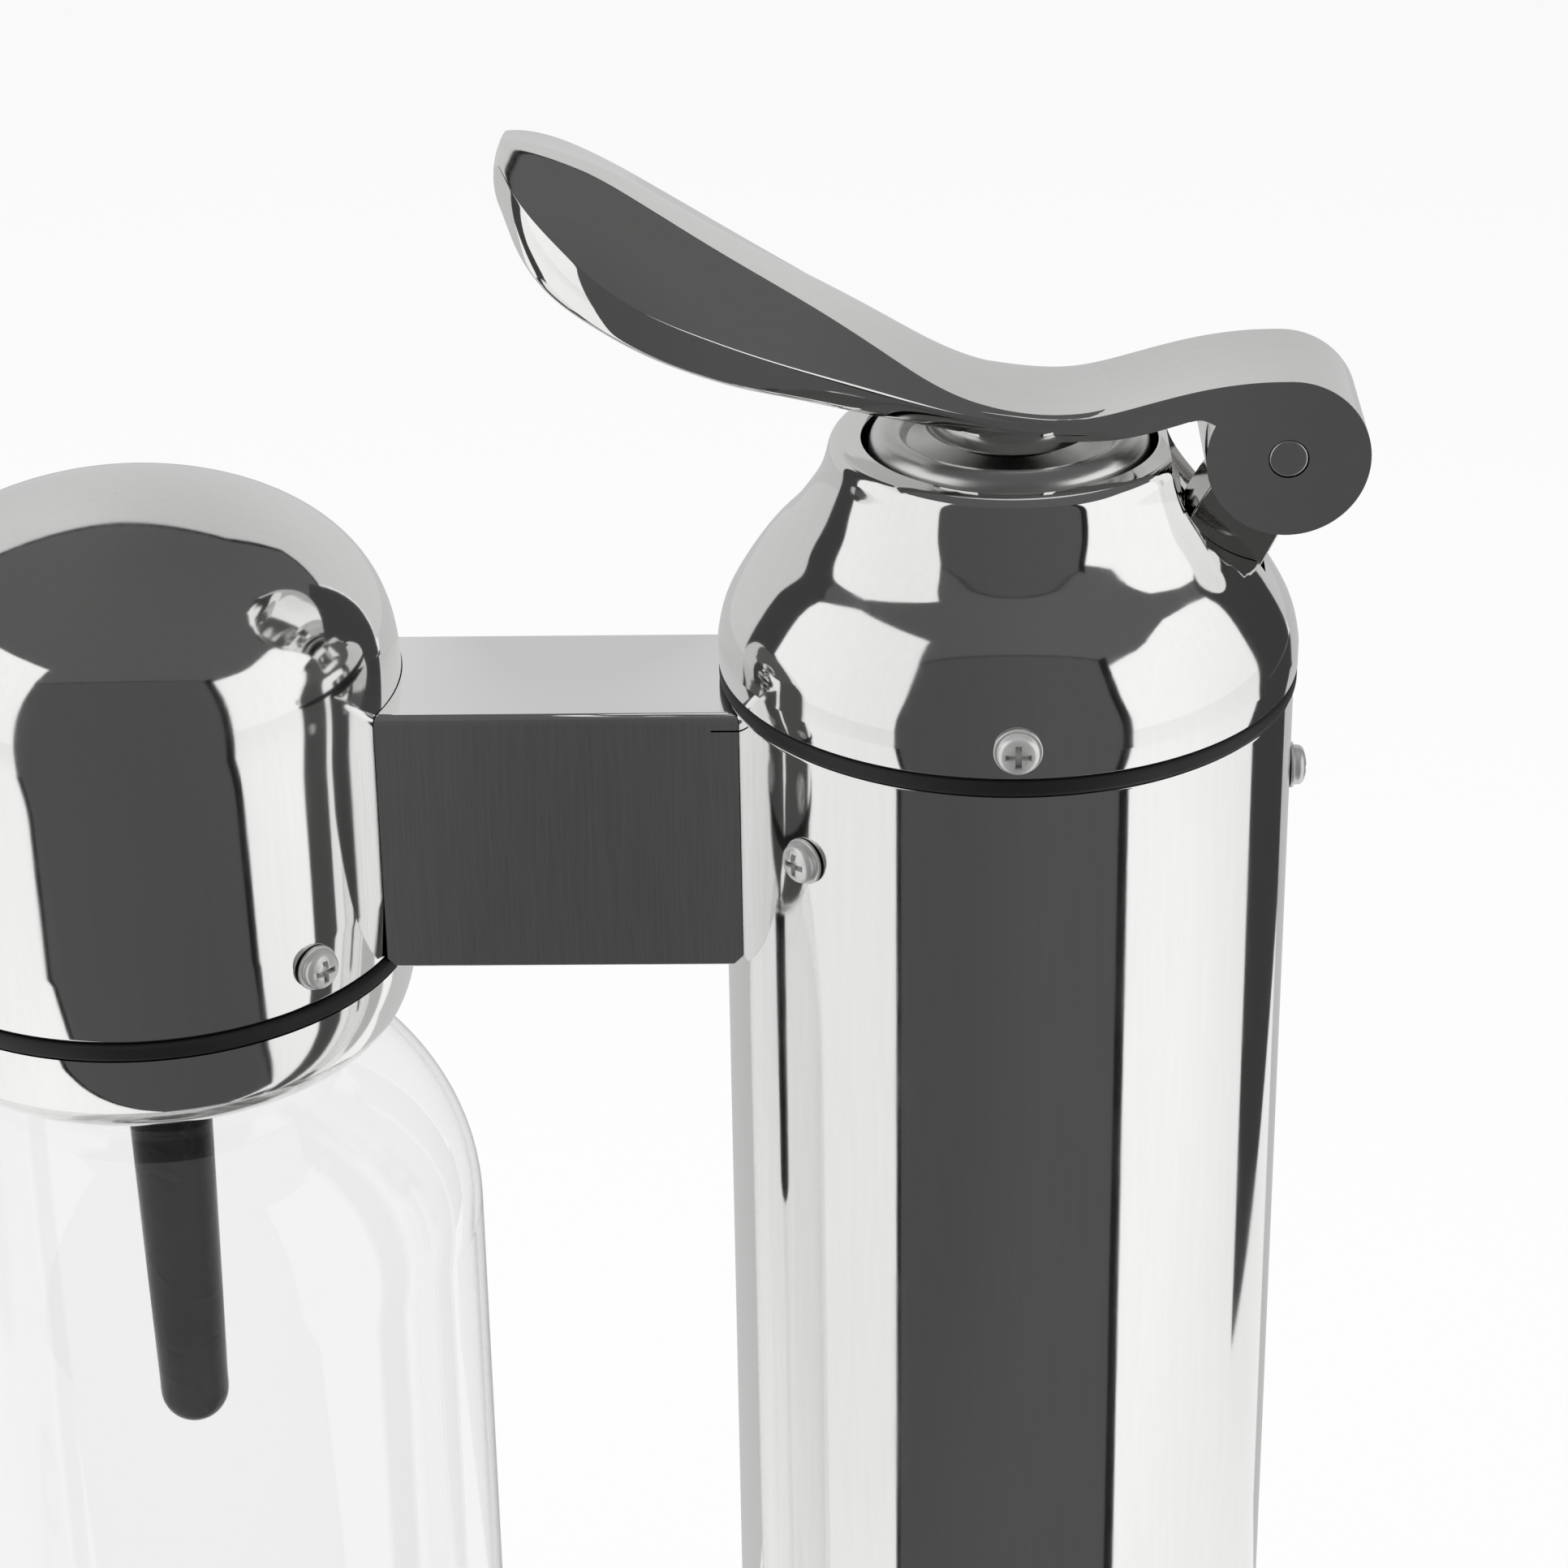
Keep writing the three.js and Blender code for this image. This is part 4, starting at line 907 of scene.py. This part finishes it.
class WATERMAKER_OT_hinge(bpy.types.Operator):
    """Turns the hinge pin and shapes the bracket that carries it"""
    bl_idname = "watermaker.hinge"
    bl_label = "Hinge"

    def execute(self, context):
        s = context.scene.water_maker.lever
        half, edge = s.knuckle_half, 0.3 * MM
        outline = rounded([(0, -half, 0), (s.pin_r, -half, edge), (s.pin_r, half, edge), (0, half, 0)])
        pin = turn("hinge_pin_smooth", outline, sides=SMALL_SIDES)
        place(pin, Matrix.Translation(lever_point(*PIN_SPOT)) @ Matrix.Rotation(math.pi / 2, 4, "X"))
        dress(pin, "hinge_pin")
        foot_z = (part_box("hinge_bracket")[0].z - SEAT_Z) / MM
        eye = round_points(PIN_SPOT, BRACKET_EYE_R, *BRACKET_ARC, 24)
        bracket = plate("hinge_bracket_smooth", [
            (BRACKET_BACK, foot_z), (BRACKET_TOE[0], foot_z), BRACKET_TOE, *eye, BRACKET_HEEL,
            (BRACKET_BACK, BRACKET_SHELF)], BRACKET_HALF)
        bevel(bracket, edge, segments=3, degrees=30)
        foot = box("bracket_foot", lever_point(BRACKET_BACK + 0.05, foot_z + 0.03, -FOOT_HALF),
                   lever_point(FOOT_FRONT, foot_z + FOOT_HEIGHT, FOOT_HALF))
        weld_on(bracket, foot)
        cut(bracket, pin_bore(s.pin_r / MM + BRACKET_BORE_PLAY, FOOT_HALF))
        level_flats(bracket)
        dress(bracket, "hinge_bracket", degrees=None)
        return {"FINISHED"}


# The reliefs that folding leaves in the arm: a slot's drop, height and reach, and a notch's half side.
RELIEF_DROP, RELIEF_HEIGHT, RELIEF_REACH, NOTCH_HALF = 1.1 * MM, 0.25 * MM, 3.6 * MM, 1 * MM
ARM_END_EDGE = 0.3 * MM


class WATERMAKER_OT_arm(bpy.types.Operator):
    """Folds the arm's box section and fits its ends round the tower and the head"""
    bl_idname = "watermaker.arm"
    bl_label = "Arm"

    def execute(self, context):
        s = context.scene.water_maker.arm
        low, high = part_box("arm_shell")
        shell = box("arm_shell_smooth", (HEAD_X, low.y, low.z), (TOWER_X, high.y, high.z))
        with editing(shell, "EDGE"):
            for level, radius in ((high.z, s.fold_r), (low.z, s.hem_r)):
                shape = bmesh.from_edit_mesh(shell.data)
                select_edges(shape, lambda a, b: abs(a.x - b.x) > 0.5 * (TOWER_X - HEAD_X) and all(
                    abs(p.z - level) < WELD for p in (a, b)))
                bmesh.update_edit_mesh(shell.data)
                bpy.ops.mesh.bevel(offset=radius, segments=5, affect="EDGES")
        cut(shell, box("arm_hollow", (HEAD_X - MM, low.y + s.wall, low.z - MM),
                       (TOWER_X + MM, high.y - s.wall, high.z - s.wall)))
        bevel(shell, ARM_END_EDGE, segments=2, degrees=50)
        cut(shell, cylinder("arm_tower_end", TOWER_END_R, low.z - MM, high.z + MM, TOWER_X),
            cylinder("arm_head_end", HEAD_END_R, low.z - MM, high.z + MM, HEAD_X))
        self.reliefs(shell, low, high, s)
        level_flats(shell, 35)
        dress(shell, "arm_shell", degrees=None)
        return {"FINISHED"}

    def reliefs(self, shell, low, high, s):
        """Cuts the small reliefs that the folding leaves at the ends of the arm's sides."""
        tower_end = TOWER_X - math.sqrt(TOWER_END_R**2 - high.y**2)
        head_end = HEAD_X + math.sqrt(HEAD_END_R**2 - high.y**2)
        slot_z = high.z - s.fold_r - RELIEF_DROP
        for side in (-1, 1):
            face = side * high.y
            near, far = sorted((face - side * 2 * s.wall, face + side * s.wall))
            cut(shell, box("slot", (tower_end - RELIEF_REACH, near, slot_z),
                           (tower_end + 3 * MM, far, slot_z + RELIEF_HEIGHT)))
            for x in (tower_end, head_end):
                notch = box("notch", (-NOTCH_HALF, near, -NOTCH_HALF), (NOTCH_HALF, far, NOTCH_HALF))
                notch.data.transform(Matrix.Translation((x, 0, low.z)) @ Matrix.Rotation(math.pi / 4, 4, "Y"))
                cut(shell, notch)


# The dome: how far below the seat its curve springs, the powers of its curve, and its steps.
DOME_DROP, DOME_LIFT_POWER, DOME_ROUND_POWER, DOME_STEPS = 6.9 * MM, 3.1, 1.8, 40
# The dome's lower edge is drawn in by a little over this height, with a slack bend.
TUCK_IN, TUCK_HEIGHT, SLACK_R = 0.35 * MM, 9 * MM, 30 * MM
# The collar's wall and rolled lip, and the nozzle's bore and taper.
COLLAR_WALL, LIP_ROLL_R, LIP_RISE = 1.8 * MM, 1.1 * MM, 0.55 * MM
BORE_R, BORE_DEPTH, TAPER_DROP = 1.2 * MM, 8 * MM, 20 * MM


class WATERMAKER_OT_head(bpy.types.Operator):
    """Turns the dome, its black ring, the collar and the nozzle"""
    bl_idname = "watermaker.head"
    bl_label = "Head"

    def execute(self, context):
        s = context.scene.water_maker.head
        self.dome(s)
        gasket("head_gasket", s.gasket_wall, s.gasket_edge_r, HEAD_X)
        self.collar(s)
        self.nozzle(s)
        return {"FINISHED"}

    def dome(self, s):
        r, low, high = round_box("head_shell")
        spring_z = SEAT_Z - DOME_DROP
        dome = []
        for i in range(DOME_STEPS):
            lift = math.sin(i / DOME_STEPS * math.pi / 2)
            reach = r * (1 - lift**DOME_LIFT_POWER) ** (1 / DOME_ROUND_POWER)
            dome.append((reach, spring_z + (high - spring_z) * lift))
        dome.append((POLE_R, high))
        wall = rounded([(r - s.wall, low, 0), (r - TUCK_IN, low, s.bead_r), (r, low + TUCK_HEIGHT, SLACK_R),
                        (r, spring_z, 0)])
        inner = [(reach - s.wall if reach > s.wall else POLE_R, z - s.wall) for reach, z in dome[::-1]]
        dress(turn("head_shell_smooth", [*wall, *dome[1:], *inner], HEAD_X), "head_shell")

    def collar(self, s):
        r, low, high = round_box("head_collar")
        drop, bulge = high - low - LIP_RISE, r - s.collar_lip_r
        sweep = arc(s.collar_lip_r, high, bulge, -drop, 0, 90, 16)
        lip = arc(s.collar_mouth_r + LIP_ROLL_R, high - drop + LIP_RISE, LIP_ROLL_R, -LIP_ROLL_R, 70, 250, 10)
        inner = arc(s.collar_lip_r - COLLAR_WALL, high, bulge, COLLAR_WALL - drop, 75, 0, 12)
        dress(turn("head_collar_smooth", [*sweep, *lip, *inner], HEAD_X, loop=True), "head_collar")

    def nozzle(self, s):
        r, low, high = round_box("nozzle")
        tip_r = s.nozzle_tip_r
        tip = arc(0, low + tip_r, tip_r, tip_r, -80, 0, 10)
        bore = [(0, low + BORE_DEPTH), (BORE_R, low + BORE_DEPTH), (BORE_R, low + 0.3 * MM)]
        stem = rounded([(tip_r, tip[-1][1], 0), (r, high - TAPER_DROP, SLACK_R), (r, high, 0.4 * MM),
                        (0, high, 0)])
        dress(turn("nozzle_smooth", [*bore, *tip[2:], *stem[1:]], HEAD_X, sides=64), "nozzle")


# The bottle's punt, in mm from its axis and above its floor, and the ends of its neck.
PUNT = [(0, 3), (8, 3), (20, 1.5)]
HEEL_RUN, NECK_GAP, NECK_RUN, RIM_DROP = 2 * MM, 1.5 * MM, 2.5 * MM, 0.5 * MM


class WATERMAKER_OT_bottle(bpy.types.Operator):
    """Turns the clear bottle with its wall"""
    bl_idname = "watermaker.bottle"
    bl_label = "Bottle"

    def execute(self, context):
        s = context.scene.water_maker.bottle
        r, low, high = round_box("bottle")

        def outline(wall):
            floor, body_r, neck_r, heel_r = low + wall, r - wall, s.neck_r - wall, s.heel_r - wall
            flat_r = body_r - heel_r
            punt = flowing([*((x * MM, floor + z * MM) for x, z in PUNT), (flat_r - HEEL_RUN, floor),
                            (flat_r, floor)], 5)
            heel = arc(flat_r, floor + heel_r, heel_r, heel_r, -90, 0, 12)
            hub, level = body_r - s.shoulder_reach, SEAT_Z - s.shoulder_bottom
            rise = s.shoulder_bottom - s.shoulder_top - wall
            stop = math.degrees(math.acos((neck_r + NECK_GAP - hub) / s.shoulder_reach))
            shoulder = arc(hub, level, s.shoulder_reach, rise, 0, stop, 28)
            neck = [(neck_r, shoulder[-1][1] + NECK_RUN), (neck_r, high - RIM_DROP)]
            return [*punt[:-1], *heel, *shoulder, *neck]

        outer, inner = outline(0), outline(s.wall)
        half = s.wall / 2
        lip = arc(s.neck_r - half, high - half, half, half, 0, 180, 8)
        bottle = turn("bottle_smooth", [*outer[:-1], *lip, *inner[:-1][::-1]], HEAD_X)
        dress(bottle, "bottle", body="bottle")
        return {"FINISHED"}


# The drip tray's rim and the radii of its foot and floor, and the radii of a rubber foot's edges.
TRAY_RIM, TRAY_FOOT_R, TRAY_FLOOR_R = 1.2 * MM, 3 * MM, 2 * MM
FOOT_EDGE_R, FOOT_TOP_R = 0.6 * MM, 0.2 * MM


class WATERMAKER_OT_base(bpy.types.Operator):
    """Shapes the base cover, the drip tray and the feet"""
    bl_idname = "watermaker.base"
    bl_label = "Base"

    def execute(self, context):
        s = context.scene.water_maker.base
        low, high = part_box("base_cover")
        end_r = (high.y - low.y) / 2
        reach = high.x - end_r
        cover = cylinder("base_cover_smooth", end_r, low.z, high.z, rotation=(0, 0, math.pi / ROUND_SIDES))
        with editing(cover):
            for side in (1, -1):
                shape = bmesh.from_edit_mesh(cover.data)
                for vertex in shape.verts:
                    vertex.select = vertex.co.x * side > 0 and abs(vertex.co.x) < end_r + WELD
                bpy.ops.mesh.select_mode(type="VERT")
                bmesh.update_edit_mesh(cover.data)
                bpy.ops.transform.translate(value=(side * reach, 0, 0))
            shape = bmesh.from_edit_mesh(cover.data)
            select_edges(shape, lambda a, b: abs(a.z - high.z) < WELD and abs(b.z - high.z) < WELD)
            bmesh.update_edit_mesh(cover.data)
            bpy.ops.mesh.bevel(offset=s.edge_r, segments=8, affect="EDGES")
            bpy.ops.mesh.select_mode(type="FACE")
            shape = bmesh.from_edit_mesh(cover.data)
            for face in shape.faces:
                face.select = face.normal.z < -0.9
            bmesh.update_edit_mesh(cover.data)
            bpy.ops.mesh.inset(thickness=s.wall)
            bpy.ops.mesh.extrude_region_move(
                TRANSFORM_OT_translate={"value": (0, 0, high.z - low.z - s.wall)})
        cut(cover, cylinder("cover_mouth", s.mouth_r, low.z - MM, high.z + MM, TOWER_X))
        turn_outwards(cover)
        dress(cover, "base_cover", degrees=40)
        self.tray(s)
        for i in range(1, 5):
            self.foot(f"foot_{i}")
        return {"FINISHED"}

    def tray(self, s):
        r, low, high = round_box("drip_tray")
        rim_r, floor = TRAY_RIM / 2.2, low + s.tray_wall
        outline = rounded([
            (0, low, 0), (r, low, TRAY_FOOT_R), (r, high, rim_r), (r - TRAY_RIM, high, rim_r),
            (r - TRAY_RIM, floor, TRAY_FLOOR_R), (0, floor, 0)])
        dress(turn("drip_tray_smooth", outline, HEAD_X), "drip_tray")

    def foot(self, name):
        low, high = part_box(name)
        r = (high.x - low.x) / 2
        outline = rounded([
            (0, low.z, 0), (r, low.z, FOOT_EDGE_R), (r, high.z, FOOT_TOP_R), (0, high.z, 0)])
        foot = turn(f"{name}_smooth", outline, sides=SMALL_SIDES)
        place(foot, Matrix.Translation(((low.x + high.x) / 2, (low.y + high.y) / 2, 0)))
        dress(foot, name)


# A screw's shank, the corners of its head, the cross in it, and how far it stands off the wall.
SHANK_R, SHANK_LENGTH, EDGE_R, DOME_R = 1.4 * MM, 7 * MM, 0.15 * MM, 1.5 * MM
CROWN_R, CROWN_DROP, CROWN_RISE, SIDE_R = 1.2 * MM, 0.5 * MM, 0.02 * MM, 0.9 * MM
CROSS_ARM, CROSS_HALF, CROSS_EDGE, STAND_OFF = 1.6 * MM, 0.4 * MM, 0.08 * MM, 0.1 * MM


class WATERMAKER_OT_screws(bpy.types.Operator):
    """Turns one cross-head screw with its washer and copies it to its places"""
    bl_idname = "watermaker.screws"
    bl_label = "Screws"

    def execute(self, context):
        s = context.scene.water_maker.screw
        crown = s.washer_height + s.head_height
        outline = rounded([
            (0, -SHANK_LENGTH, 0), (SHANK_R, -SHANK_LENGTH, 0), (SHANK_R, 0, 0), (s.washer_r, 0, EDGE_R),
            (s.washer_r, s.washer_height, EDGE_R), (s.head_r, s.washer_height, 0),
            (s.head_r, crown - CROWN_DROP, SIDE_R), (CROWN_R, crown, DOME_R), (0, crown + CROWN_RISE, 0)])
        pattern = turn("screw_pattern", outline, sides=SMALL_SIDES)
        for x, y in ((CROSS_ARM, CROSS_HALF), (CROSS_HALF, CROSS_ARM)):
            cut(pattern, box("recess", (-x, -y, crown - s.recess), (x, y, crown + MM)))
        bevel(pattern, CROSS_EDGE, segments=2, degrees=50)
        for kind, (wall, x, angles) in SCREWS.items():
            for i, degrees in enumerate(angles, 1):
                self.fasten(pattern, f"{kind}_{i}", x, round_box(wall)[0], math.radians(degrees))
        bpy.data.objects.remove(pattern)
        return {"FINISHED"}

    def fasten(self, pattern, name, x, r, angle):
        """Copies the pattern to its place on a round wall."""
        low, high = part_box(name)
        pick(pattern)
        bpy.ops.object.duplicate()
        screw = added(f"{name}_smooth")
        spot = Matrix.Translation((x, 0, (low.z + high.z) / 2)) @ Matrix.Rotation(angle, 4, "Z")
        spot = spot @ Matrix.Translation((r + STAND_OFF, 0, 0)) @ Matrix.Rotation(math.pi / 2, 4, "Y")
        place(screw, spot)
        dress(screw, name, degrees=40)


# The photograph's camera: its place in metres and its yaw, pitch and roll in degrees.
CAMERA_PLACE = (0.03834961, -0.52798440, 0.58129949)
CAMERA_YAW, CAMERA_PITCH, CAMERA_ROLL = -1.06286577, 26.62216474, -0.89365962
CAMERA_LENS, CAMERA_SENSOR = 100.28, 36.0


def camera_matrix():
    yaw, pitch, roll = (math.radians(a) for a in (CAMERA_YAW, CAMERA_PITCH, CAMERA_ROLL))
    ahead = Vector((math.sin(yaw) * math.cos(pitch), math.cos(yaw) * math.cos(pitch), -math.sin(pitch)))
    level = Vector((math.cos(yaw), -math.sin(yaw), 0))
    up = level.cross(ahead)
    right = level * math.cos(roll) + up * math.sin(roll)
    above = up * math.cos(roll) - level * math.sin(roll)
    turned = Matrix((right, above, -ahead)).transposed().to_4x4()
    return Matrix.Translation(CAMERA_PLACE) @ turned


def bearing(degrees, reach, z=0.0004):
    """A point so far from the tower's foot, at a bearing from the front towards the right."""
    turned = math.radians(degrees)
    return (TOWER_X + reach * math.sin(turned), -reach * math.cos(turned), z)


def upright(left, right, top, low=0.0):
    """The corners of a wall that stands on the line between two points."""
    return [(*left[:2], low), (*right[:2], low), (*right[:2], top), (*left[:2], top)]


CEILING_Z = 1.3
# The corners of the ceiling's dark shape and of the line behind it, in metres from the tower's axis.
CEILING = [
    (-0.85, -0.87), (0.87, -0.87), (0.92, -0.9), (1.15, -0.64), (1.2, -0.5), (1.16, -0.12), (1.4, 0.27),
    (1.72, 0.64), (1.75, 1.34), (0.5, 1.34), (0.15, 1.06), (-1.3, 1.02), (-1.75, 0.64), (-1.4, 0.36),
    (-1.02, 0), (-0.79, -0.35), (-0.6, -0.6)]
BACK_LINE = [
    (1.75, 1.34), (0.5, 1.34), (0.15, 1.06), (-1.3, 1.02), (-1.3, 0.97), (0.17, 1.01), (0.52, 1.29),
    (1.75, 1.29)]


def overhead(corners, z=CEILING_Z):
    """The corners of a level shape above the object."""
    return [(TOWER_X + x, y, z) for x, y in corners]


# The places and widths of the two lamps, and where both point.
OVERHEAD_PLACE, OVERHEAD_WIDTH = (0.1, -0.2, 1.5), 1.4
LEFT_PLACE, LEFT_WIDTH = (-1.2, -0.7, 0.9), 0.9
LAMP_AIM = (0, 0, 0.2)

# Grey shapes that only reflections show: name, grey and corners in metres.
CARDS = [
    ("front_floor", 0.085, [bearing(-44, 0.1), bearing(45, 0.1), bearing(45, 1.23), bearing(-44, 1.21)]),
    ("front_wall", 0.085, upright(bearing(-44, 1.21), bearing(45, 1.23), CEILING_Z)),
    ("front_seam", 0.012, upright(bearing(-44, 1.2), bearing(45, 1.22), CEILING_Z, CEILING_Z - 0.012)),
    ("front_left_edge", 0.012, [bearing(-44.4, 0.1, 0.001), bearing(-43.2, 0.1, 0.001),
                                bearing(-42.4, 1.2, 0.001), bearing(-44.4, 1.2, 0.001)]),
    ("front_right_edge", 0.012, [bearing(41.4, 0.1, 0.001), bearing(45.4, 0.1, 0.001),
                                 bearing(45.4, 1.2, 0.001), bearing(41.4, 1.2, 0.001)]),
    ("front_right_post", 0.012, upright(bearing(40.5, 1.16), bearing(45.4, 1.16), CEILING_Z)),
    ("ceiling", 0.105, overhead(CEILING)),
    ("ceiling_back_line", 0.012, overhead(BACK_LINE, CEILING_Z - 0.002)),
    ("right_wall", 0.05, upright(bearing(109, 1.45), bearing(140, 1.45), CEILING_Z)),
    ("right_floor", 0.05, [bearing(109, 0.4), bearing(131, 0.5), bearing(142, 0.62), bearing(142, 1.45),
                           bearing(109, 1.45)]),
    ("left_wall", 0.05, upright(bearing(-124, 1.45), bearing(-107, 1.45), CEILING_Z)),
    ("left_floor", 0.05, [bearing(-106.5, 0.44), bearing(-101, 0.54), bearing(-94, 0.64), bearing(-100, 1.0),
                          bearing(-107, 1.45), bearing(-124, 1.45), bearing(-112, 0.9)]),
    ("back_wall", 0.62, upright((-2.3, 1.6), (1.4, 1.6), 2.3)),
    ("back_floor", 0.56, [bearing(142, 0.3), bearing(142, 2.1), bearing(236, 2.9), bearing(236, 0.3)]),
]


def stage_material(piece, name):
    """Gives a piece of the stage an empty material and returns its node tree."""
    material = bpy.data.materials.new(name)
    material.use_nodes = True
    material.node_tree.nodes.clear()
    piece.data.materials.append(material)
    return material.node_tree


def glowing(tree, grey):
    return node(tree, "ShaderNodeEmission", {}, Color=(grey, grey, grey, 1), Strength=1.0).outputs[0]


def seen_directly(tree):
    """1 for the camera's rays and what mirrors and clear walls show, and 0 for all other light."""
    path = node(tree, "ShaderNodeLightPath").outputs
    first = calc(tree, "MAXIMUM", path["Is Camera Ray"], path["Is Glossy Ray"])
    return calc(tree, "MAXIMUM", first, path["Is Transmission Ray"])


class WATERMAKER_OT_studio(bpy.types.Operator):
    """Makes the floor, the white surroundings, the lights, the grey cards and the camera"""
    bl_idname = "watermaker.studio"
    bl_label = "Studio"

    def execute(self, context):
        s = context.scene.water_maker.studio
        scene = context.scene
        scene.view_settings.view_transform = "Standard"
        self.world(scene, s)
        self.floor(s)
        for name, grey, corners in CARDS:
            self.card(name, grey, corners)
        self.lamp("lamp_overhead", OVERHEAD_PLACE, OVERHEAD_WIDTH, s.key_power)
        self.lamp("lamp_left", LEFT_PLACE, LEFT_WIDTH, s.side_power)
        bpy.ops.object.camera_add()
        camera = context.active_object
        camera.name = "camera"
        camera.data.lens, camera.data.sensor_width = CAMERA_LENS, CAMERA_SENSOR
        camera.data.clip_start, camera.data.clip_end = 0.01, 50
        camera.matrix_world = camera_matrix()
        scene.camera = camera
        return {"FINISHED"}

    def world(self, scene, s):
        world = bpy.data.worlds.new("studio")
        world.use_nodes = True
        scene.world = world
        tree = world.node_tree
        background = tree.nodes["Background"]
        background.inputs["Color"].default_value = (1, 1, 1, 1)
        level = node(tree, "ShaderNodeMapRange", {}, _0=seen_directly(tree), _3=s.ambient)
        tree.links.new(level.outputs[0], background.inputs["Strength"])

    def floor(self, s):
        deselect()
        bpy.ops.mesh.primitive_plane_add(size=12)
        floor = added("floor")
        tree = stage_material(floor, "floor_white")
        lit = node(tree, "ShaderNodeBsdfDiffuse", {}, Color=(0.9, 0.9, 0.9, 1))
        factor = calc(tree, "MULTIPLY", seen_directly(tree), s.floor_white)
        blend = node(tree, "ShaderNodeMixShader", {}, _0=factor, _1=lit.outputs[0], _2=glowing(tree, 1))
        node(tree, "ShaderNodeOutputMaterial", {}, Surface=blend.outputs[0])

    def card(self, name, grey, corners):
        deselect()
        bpy.ops.mesh.primitive_circle_add(vertices=len(corners), fill_type="NGON")
        card = added(name)
        for vertex, corner in zip(card.data.vertices, corners):
            vertex.co = corner
        tree = stage_material(card, name)
        node(tree, "ShaderNodeOutputMaterial", {}, Surface=glowing(tree, grey))
        for way in ("camera", "diffuse", "transmission", "volume_scatter", "shadow"):
            setattr(card, f"visible_{way}", False)

    def lamp(self, name, spot, extent, power):
        deselect()
        bpy.ops.object.light_add(type="AREA", location=spot)
        lamp = bpy.context.active_object
        lamp.name = name
        lamp.data.size, lamp.data.energy = extent, power
        lamp.rotation_euler = (Vector(LAMP_AIM) - Vector(spot)).to_track_quat("-Z", "Y").to_euler()
        lamp.visible_glossy = False
        lamp.visible_transmission = False


STEPS = [
    WATERMAKER_OT_finishes, WATERMAKER_OT_tower, WATERMAKER_OT_cap, WATERMAKER_OT_button,
    WATERMAKER_OT_lever, WATERMAKER_OT_hinge, WATERMAKER_OT_arm, WATERMAKER_OT_head,
    WATERMAKER_OT_bottle, WATERMAKER_OT_base, WATERMAKER_OT_screws, WATERMAKER_OT_studio,
]


class WATERMAKER_PT_steps(bpy.types.Panel):
    """Lists the steps and the settings of the water maker"""
    bl_idname = "WATERMAKER_PT_steps"
    bl_label = "Sparkling Water Maker"
    bl_space_type = "VIEW_3D"
    bl_region_type = "UI"
    bl_category = "Water Maker"

    def draw(self, context):
        settings = context.scene.water_maker
        for step in STEPS:
            self.layout.operator(step.bl_idname)
        for name in settings.bl_rna.properties.keys():
            if name in ("rna_type", "name"):
                continue
            column = self.layout.box().column()
            column.label(text=name.title())
            group = getattr(settings, name)
            for key in group.bl_rna.properties.keys():
                if key not in ("rna_type", "name"):
                    column.prop(group, key)


CLASSES = [
    TowerSizes, LeverSizes, ArmSizes, HeadSizes, BottleSizes, BaseSizes, ScrewSizes, FinishColours,
    StudioSettings, WaterMakerSettings, *STEPS, WATERMAKER_PT_steps,
]


def register():
    for made in CLASSES:
        bpy.utils.register_class(made)
    bpy.types.Scene.water_maker = PointerProperty(type=WaterMakerSettings)


def unregister():
    del bpy.types.Scene.water_maker
    for made in reversed(CLASSES):
        bpy.utils.unregister_class(made)


def main():
    register()
    for step in STEPS:
        group, name = step.bl_idname.split(".")
        getattr(getattr(bpy.ops, group), name)()


if __name__ == "__main__":
    main()
